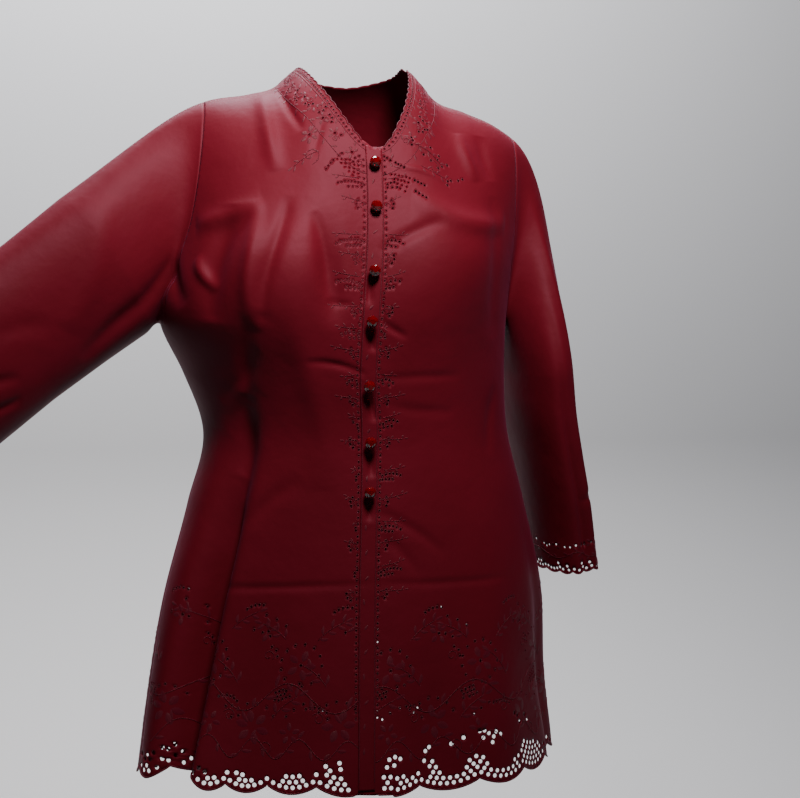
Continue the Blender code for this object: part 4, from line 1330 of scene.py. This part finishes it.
def sleeveSurfaceOf(side):
    # Returns a surface of flat metres: x round the sleeve from its top, v down from the armhole.
    facts = sleeves[side]
    share = np.linspace(1.0, 0.0, 201)
    armAngles, armLevels = armholeOf(side, share)
    sign = -1.0 if side == "right" else 1.0
    angles = np.concatenate([sign * armAngles, sign * (math.pi - armAngles[::-1][1:])])
    levels = np.concatenate([armLevels, armLevels[::-1][1:]])
    loop = clothBody(angles, levels)
    normals = outwardOf(clothBody, angles, levels, top=-0.00002)
    away = unitOf(np.cross(unitOf(np.gradient(loop, axis=0)), normals))
    middles = np.stack([facts["x"], facts["y"], facts["z"]], axis=1)
    if np.sum(away[0] * (middles[-1] - middles[0])) < 0:
        away = -away
    away = unitOf(softened(away, sleeveCut["seamBlur"]))
    loop = loop + away * sleeveCut["seamGap"]
    lengths = np.concatenate([[0.0], np.cumsum(np.linalg.norm(np.diff(loop, axis=0), axis=1))])
    loopShare = lengths / lengths[-1]
    stations = np.arange(len(middles), dtype=float)
    at = np.linspace(0.0, stations[-1], 81)
    fine = np.stack([smoothCurve(stations, middles[:, axis], at) for axis in range(3)], axis=1)
    axis = unitOf(np.gradient(fine, axis=0))
    upward = np.broadcast_to(np.asarray(facts["top"]), axis.shape)
    upward = unitOf(upward - axis * np.sum(upward * axis, axis=1, keepdims=True))
    forward = np.cross(axis, upward)
    forward = np.where(forward[:, 1:2] > 0, -forward, forward)
    run = np.concatenate([[0.0], np.cumsum(np.linalg.norm(np.diff(fine, axis=0), axis=1))])
    high = smoothCurve(stations, facts["halfHigh"], at)
    deep = smoothCurve(stations, facts["halfDeep"], at)

    def read(table, places, where):
        return np.stack([np.interp(where, places, table[:, k]) for k in range(3)], axis=-1)

    def ring(turn, down):
        top = read(upward * high[:, None], run, down) * np.cos(turn)[..., None]
        front = read(forward * deep[:, None], run, down) * np.sin(turn)[..., None]
        return read(fine, run, down) + top + front

    def plain(x, v):
        part = np.mod(x / sleeveCut["girth"], 1.0)
        turn = part * 2 * math.pi
        down = np.maximum(v - sleeveCut["capLength"], 0.0)
        first = ring(turn, np.zeros_like(down))
        start = read(loop, loopShare, part)
        leave = read(away, loopShare, part)
        reach = np.linalg.norm(first - start, axis=-1, keepdims=True)
        t = np.clip(v / sleeveCut["capLength"], 0.0, 1.0)[..., None]
        cap = (2 * t**3 - 3 * t**2 + 1) * start + (t**3 - 2 * t**2 + t) * leave * reach * sleeveCut["capPull"]
        cap = cap + (3 * t**2 - 2 * t**3) * first + (t**3 - t**2) * axis[0] * reach * sleeveCut["armPull"]
        return np.where(t < 1, cap, ring(turn, down))

    def surface(x, v):
        x, v = np.broadcast_arrays(np.asarray(x, float), np.asarray(v, float))
        lift = np.zeros(x.shape)
        for row in sleeveCreases[side]:
            for shift in (-sleeveCut["girth"], 0.0, sleeveCut["girth"]):
                lift = lift + creaseLine(np.mod(x, sleeveCut["girth"]) + shift, v, row)
        normal = outwardOf(plain, x, v, step=0.001)
        return plain(x, v) + normal * (lift * facing)[..., None]

    facing = 1.0
    x = np.array([0.0])
    v = np.array([0.2])
    outward = plain(x, v)[0] - read(fine, run, np.array([0.2 - sleeveCut["capLength"]]))[0]
    facing = math.copysign(1.0, float(np.sum(outwardOf(plain, x, v, step=0.001)[0] * outward)))
    return surface, facing, sleeveCut["capLength"] + run[-1]


def makeSleeve(side):
    surface, facing, length = sleeveSurfaceOf(side)
    girth = sleeveCut["girth"]
    table = surfaceTable(surface, -0.04, girth + 0.04, 0.0, length, facing)
    count = round(girth / sleeveCut["cuffScallop"])
    across = np.linspace(0.0, girth, 600)
    wave = np.abs(np.sin(math.pi * count * across / girth)) ** 0.8
    cuff = np.stack([across, length - sleeveCut["cuffDepth"] * (1 - wave)], axis=1)
    seamRows = np.linspace(0.0, cuff[0, 1], int(cuff[0, 1] / blouse["meshStep"]))
    first = np.stack([np.zeros(len(seamRows)), seamRows], axis=1)
    last = np.stack([np.full(len(seamRows), girth), seamRows[::-1]], axis=1)
    top = np.stack([np.linspace(girth, 0.0, 170), np.zeros(170)], axis=1)
    low = resampled(cuff, blouse["edgeStep"])
    outline = np.concatenate([first[:-1], low[:-1], last[:-1], top[:-1]])
    x = np.arange(0.006, girth - 0.005, sleeveCut["netPitch"])
    edge = np.interp(x, cuff[:, 0], cuff[:, 1])
    rows = [np.stack([x, edge - 0.0042], axis=1)]
    more = np.sin(x * 2 * math.pi / 0.043) > -0.1
    rows.append(np.stack([x + sleeveCut["netPitch"] / 2, edge - 0.0085], axis=1)[more][:-1])
    net = np.concatenate(rows)
    net = np.column_stack([net, np.full(len(net), sleeveCut["netRadius"])])
    design = newDesign()
    cuffPattern(design, table, length)
    holes = holeTable(table, np.concatenate([net, np.array(design["eyelets"])]))
    flat, triangles = cutSheet(outline, holes, blouse["meshStep"])
    points = surface(flat[:, 0], flat[:, 1])
    # The two long edges meet on one line, so their points are made one.
    key = np.round(np.stack([np.mod(flat[:, 0] + 1e-7, girth), flat[:, 1]], axis=1), 5)
    _, keep, index = np.unique(key, axis=0, return_index=True, return_inverse=True)
    triangles = index.reshape(-1)[triangles]
    normals = outwardOf(surface, flat[keep, 0], flat[keep, 1], step=0.001) * facing
    item = clothPiece(sleeves[side]["name"], flat[keep], triangles, points[keep], normals, crepeCloth)
    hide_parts(sleeves[side]["node"])
    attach(item, "root")
    print(sleeves[side]["name"], len(triangles), "triangles,", len(holes), "holes, length", round(length, 3))
    design["cords"].append((cuff + np.array([0.0, -0.0004]), sleeveCut["rimRadius"]))
    stitches = makeStitches(sleeves[side]["name"] + "Embroidery", table, design, holes[len(net) :], holes)


for side in ("right", "left"):
    makeSleeve(side)

# Button band: a strip of the same crepe on the right front's edge, with a corded line at each side.
bandFacts = {
    "lift": 0.0011,
    "seamGap": 0.0003,
    "hemRise": 0.003,
    "buttonLevels": (-0.108, -0.151, -0.213, -0.261, -0.325, -0.382, -0.432),
    "buttonSeat": 0.0016,
}


def bandOutline():
    half = edges["bandWidth"] / 2 - bandFacts["seamGap"]
    middle = float(section("centreFrontX", -0.09))
    x = np.linspace(middle - half, middle + half, 40)
    top = frontNeckLevel(x)
    low = blouse["hemLevel"] + bandFacts["hemRise"] - edges["scallopDepth"] * 0.25
    sides = []
    for offset, ends in ((-half, (top[0], low)), (half, (low, top[-1]))):
        level = np.linspace(*ends, 400)
        sides.append(flatLine(angleAtX(section("centreFrontX", level) + offset, level), level))
    neck = flatLine(angleAtX(x[::-1], top[::-1]), top[::-1])
    neck = scalloped(resampled(neck, 0.001), edges["neckScallop"] / 2, 0.0012, 1.0)
    neck[0] = sides[1][-1]
    neck[-1] = sides[0][0]
    lines = [sides[0], np.concatenate([sides[0][-1:], sides[1][:1]]), sides[1], neck]
    return np.concatenate([resampled(line, 0.0018)[:-1] for line in lines])


def makeBand():
    outline = bandOutline()
    flat, triangles = cutSheet(outline, np.zeros((0, 5)), 0.0024)
    angle = angleOfX(flat[:, 0])
    level = levelOfV(flat[:, 1])
    outwards = outwardOf(clothBody, angle, level, top=-0.00002)
    points = clothBody(angle, level) + outwards * bandFacts["lift"]
    item = clothPiece("placketBand", flat, triangles, points, outwards, crepeCloth)
    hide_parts("placket_band")
    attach(item, "root")
    table = dict(bodyTable)
    table["sunk"] = lambda flat: np.full(flat.shape[:-1], -bandFacts["lift"])
    design = newDesign()
    half = edges["bandWidth"] / 2 - 0.0012
    for offset in (-half, half):
        level = np.linspace(-0.104, blouse["hemLevel"] + 0.008, 330)
        path = flatLine(angleAtX(section("centreFrontX", level) + offset, level), level)
        design["cords"].append((path, 0.0005))
    for number, level in enumerate(np.arange(-0.128, -0.700, -0.0245)):
        at = angleAtX(section("centreFrontX", level) - 0.003, np.array(level))
        place = flatAt(math.degrees(float(at)), level)
        addLeaf(design, place, 1.2 + 0.5 * math.sin(number * 2.3), 0.0068, 0.0030)
    stitches = makeStitches("bandEmbroidery", table, design, [], np.array([[9.0, 9.0, 0.001, 0.001, 10.0]]))


makeBand()

# Crystal shank button: red glass, cut in facets between a waist and a small flat top.
crystal = {
    "radius": (0.0021, 0.0021, 0.0014, 0.0015, 0.0048, 0.0060, 0.0058, 0.0044, 0.0026),
    "height": (0.0, 0.0006, 0.0011, 0.0020, 0.0036, 0.0050, 0.0064, 0.0086, 0.0101),
    "turn": (0.0, 0.0, 0.0, 0.0, 0.5, 0.0, 0.5, 0.0, 0.5),
    "sides": 10,
}


def glassMaterial():
    # Lead crystal in ruby red: nearly clear, dark inside, with hard small reflections.
    return newMaterial("ruby crystal", {
        "Base Color": linearOf("#84040f"),
        "Roughness": 0.03,
        "IOR": 1.56,
        "Transmission Weight": 0.40,
        "Specular IOR Level": 0.9,
        "Coat Weight": 0.6,
        "Coat Roughness": 0.02,
    })[0]


def makeButtons():
    material = glassMaterial()
    sides = crystal["sides"]
    turn = (np.arange(sides)[None, :] + np.array(crystal["turn"])[:, None]) * 2 * math.pi / sides
    radius = np.array(crystal["radius"])[:, None]
    height = np.broadcast_to(np.array(crystal["height"])[:, None], turn.shape)
    shape = np.stack([radius * np.cos(turn), radius * np.sin(turn), height], axis=-1).reshape(-1, 3)
    last = len(shape)
    shape = np.concatenate([shape, [[0.0, 0.0, 0.0], [0.0, 0.0, crystal["height"][-1]]]])
    ringCount = len(crystal["radius"])
    first = np.arange(ringCount - 1)[:, None] * sides + np.arange(sides)
    second = np.arange(ringCount - 1)[:, None] * sides + np.roll(np.arange(sides), -1)
    lower = np.stack([first, second, first + sides], axis=-1).reshape(-1, 3)
    upper = np.stack([second, second + sides, first + sides], axis=-1).reshape(-1, 3)
    corner = np.arange(sides)
    foot = np.stack([np.roll(corner, -1), corner, np.full(sides, last)], axis=-1)
    top = np.stack([corner, np.roll(corner, -1), np.full(sides, last + 1)], axis=-1)
    top[:, :2] += (ringCount - 1) * sides
    faces = np.concatenate([lower, upper, foot, top])
    for number, level in enumerate(bandFacts["buttonLevels"], start=1):
        angle = angleAtX(section("centreFrontX", np.array(level)), np.array(level))
        flat = flatAt(math.degrees(float(angle)), level)
        seat = readTable(bodyTable, "points", flat)
        axis = unitOf(readTable(bodyTable, "normals", flat))
        right = unitOf(np.cross([0.0, 0.0, 1.0], axis))
        up = np.cross(axis, right)
        seat = seat + axis * bandFacts["buttonSeat"]
        points = seat + shape[:, :1] * right + shape[:, 1:2] * up + shape[:, 2:] * axis
        item = newMesh("crystalButton%d" % number, points, faces, material, smooth=False)
        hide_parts("button_%d" % number)
        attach(item, "root")


makeButtons()
print("band and buttons made")

# Studio: pale floor that curves up behind, one soft light overhead in front, weak fills.
studio = {
    "floor": -1.42,
    "wallY": 2.6,
    "bend": 0.8,
    "reach": 6.0,
    "wallTop": 4.5,
    "pale": "#dcdad6",
    "air": "#e8e8ea",
    "airStrength": 0.02,
}

# Lights: name, place, aim, width, watts, colour, spread in degrees.
lights = (
    ("keyLight", (0.03, -0.85, 0.75), (-0.05, 0.0, -0.05), 0.36, 4.3, "#fff6ee", 70.0),
    ("wallLight", (0.0, 1.2, 2.2), (0.0, 2.6, -0.4), 1.6, 190.0, "#f4f6ff", 180.0),
    ("backFill", (0.9, 1.9, 0.7), (0.0, 0.0, -0.3), 0.9, 6.0, "#f4f6ff", 180.0),
)


def studioFloor():
    # A floor, a quarter round and a wall, swept along X.
    bendAngle = np.linspace(0.0, math.pi / 2, 17)
    bend = studio["bend"]
    wall = studio["wallY"]
    reach = studio["reach"]
    y = np.concatenate([[-reach], wall - bend + bend * np.sin(bendAngle), [wall]])
    z = np.concatenate([[0.0], bend * (1 - np.cos(bendAngle)), [studio["wallTop"]]]) + studio["floor"]
    x = np.array([-reach, reach])
    points = np.stack([np.tile(x, len(y)), np.repeat(y, 2), np.repeat(z, 2)], axis=1)
    row = np.arange(len(y) - 1)[:, None] * 2
    faces = row + np.array([0, 1, 3, 2])
    material = newMaterial("painted studio paper", {
        "Base Color": linearOf(studio["pale"]),
        "Roughness": 0.9,
        "Specular IOR Level": 0.2,
    })[0]
    paper = newMesh("studioPaper", points, faces, material)
    # The dim room of the picture gives the cloth no light back from the floor.
    paper.visible_diffuse = False


def stand(item, place, right, up, forward):
    # Lights and the camera look along their own -Z.
    rows = [[right[k], up[k], -forward[k], place[k]] for k in range(3)]
    item.matrix_world = Matrix(rows + [[0, 0, 0, 1]])
    bpy.context.scene.collection.objects.link(item)


def areaLight(name, place, aim, size, energy, colour, spread):
    # A round soft light; a small spread keeps its light near the line of its aim, as a grid does.
    light = bpy.data.lights.new(name, "AREA")
    light.shape = "DISK"
    light.size = size
    light.energy = energy
    light.spread = math.radians(spread)
    light.color = linearOf(colour)[:3]
    item = bpy.data.objects.new(name, light)
    forward = unitOf(np.array(aim) - np.array(place))
    right = unitOf(np.cross(forward, [0.0, 0.0, 1.0]))
    stand(item, place, right, np.cross(right, forward), forward)


studioFloor()
for row in lights:
    areaLight(*row)
world = bpy.data.worlds.new("studioWorld")
world.use_nodes = True
air = world.node_tree.nodes["Background"]
air.inputs["Color"].default_value = linearOf(studio["air"])
air.inputs["Strength"].default_value = studio["airStrength"]
bpy.context.scene.world = world

# Camera at the photograph's angle; the picture is 800 by 798, and the lens fills its width.
camera = {
    "azimuth": -12.0,
    "distance": 1.7,
    "height": -0.25,
    "pan": 1.68,
    "tilt": -3.2,
    "focalPixels": 1598.0,
    "pictureWidth": 800.0,
    "sensor": 36.0,
}


def placeCamera():
    turn = math.radians(camera["azimuth"])
    place = (camera["distance"] * math.sin(turn), -camera["distance"] * math.cos(turn), camera["height"])
    heading = math.radians(camera["pan"] - camera["azimuth"])
    tilt = math.radians(camera["tilt"])
    level = math.cos(tilt)
    forward = np.array([math.sin(heading) * level, math.cos(heading) * level, math.sin(tilt)])
    right = np.array([math.cos(heading), -math.sin(heading), 0.0])
    data = bpy.data.cameras.new("photoCamera")
    data.sensor_width = camera["sensor"]
    data.lens = camera["focalPixels"] / camera["pictureWidth"] * camera["sensor"]
    item = bpy.data.objects.new("photoCamera", data)
    stand(item, place, right, np.cross(right, forward), forward)
    bpy.context.scene.camera = item


placeCamera()
print("scene ready")
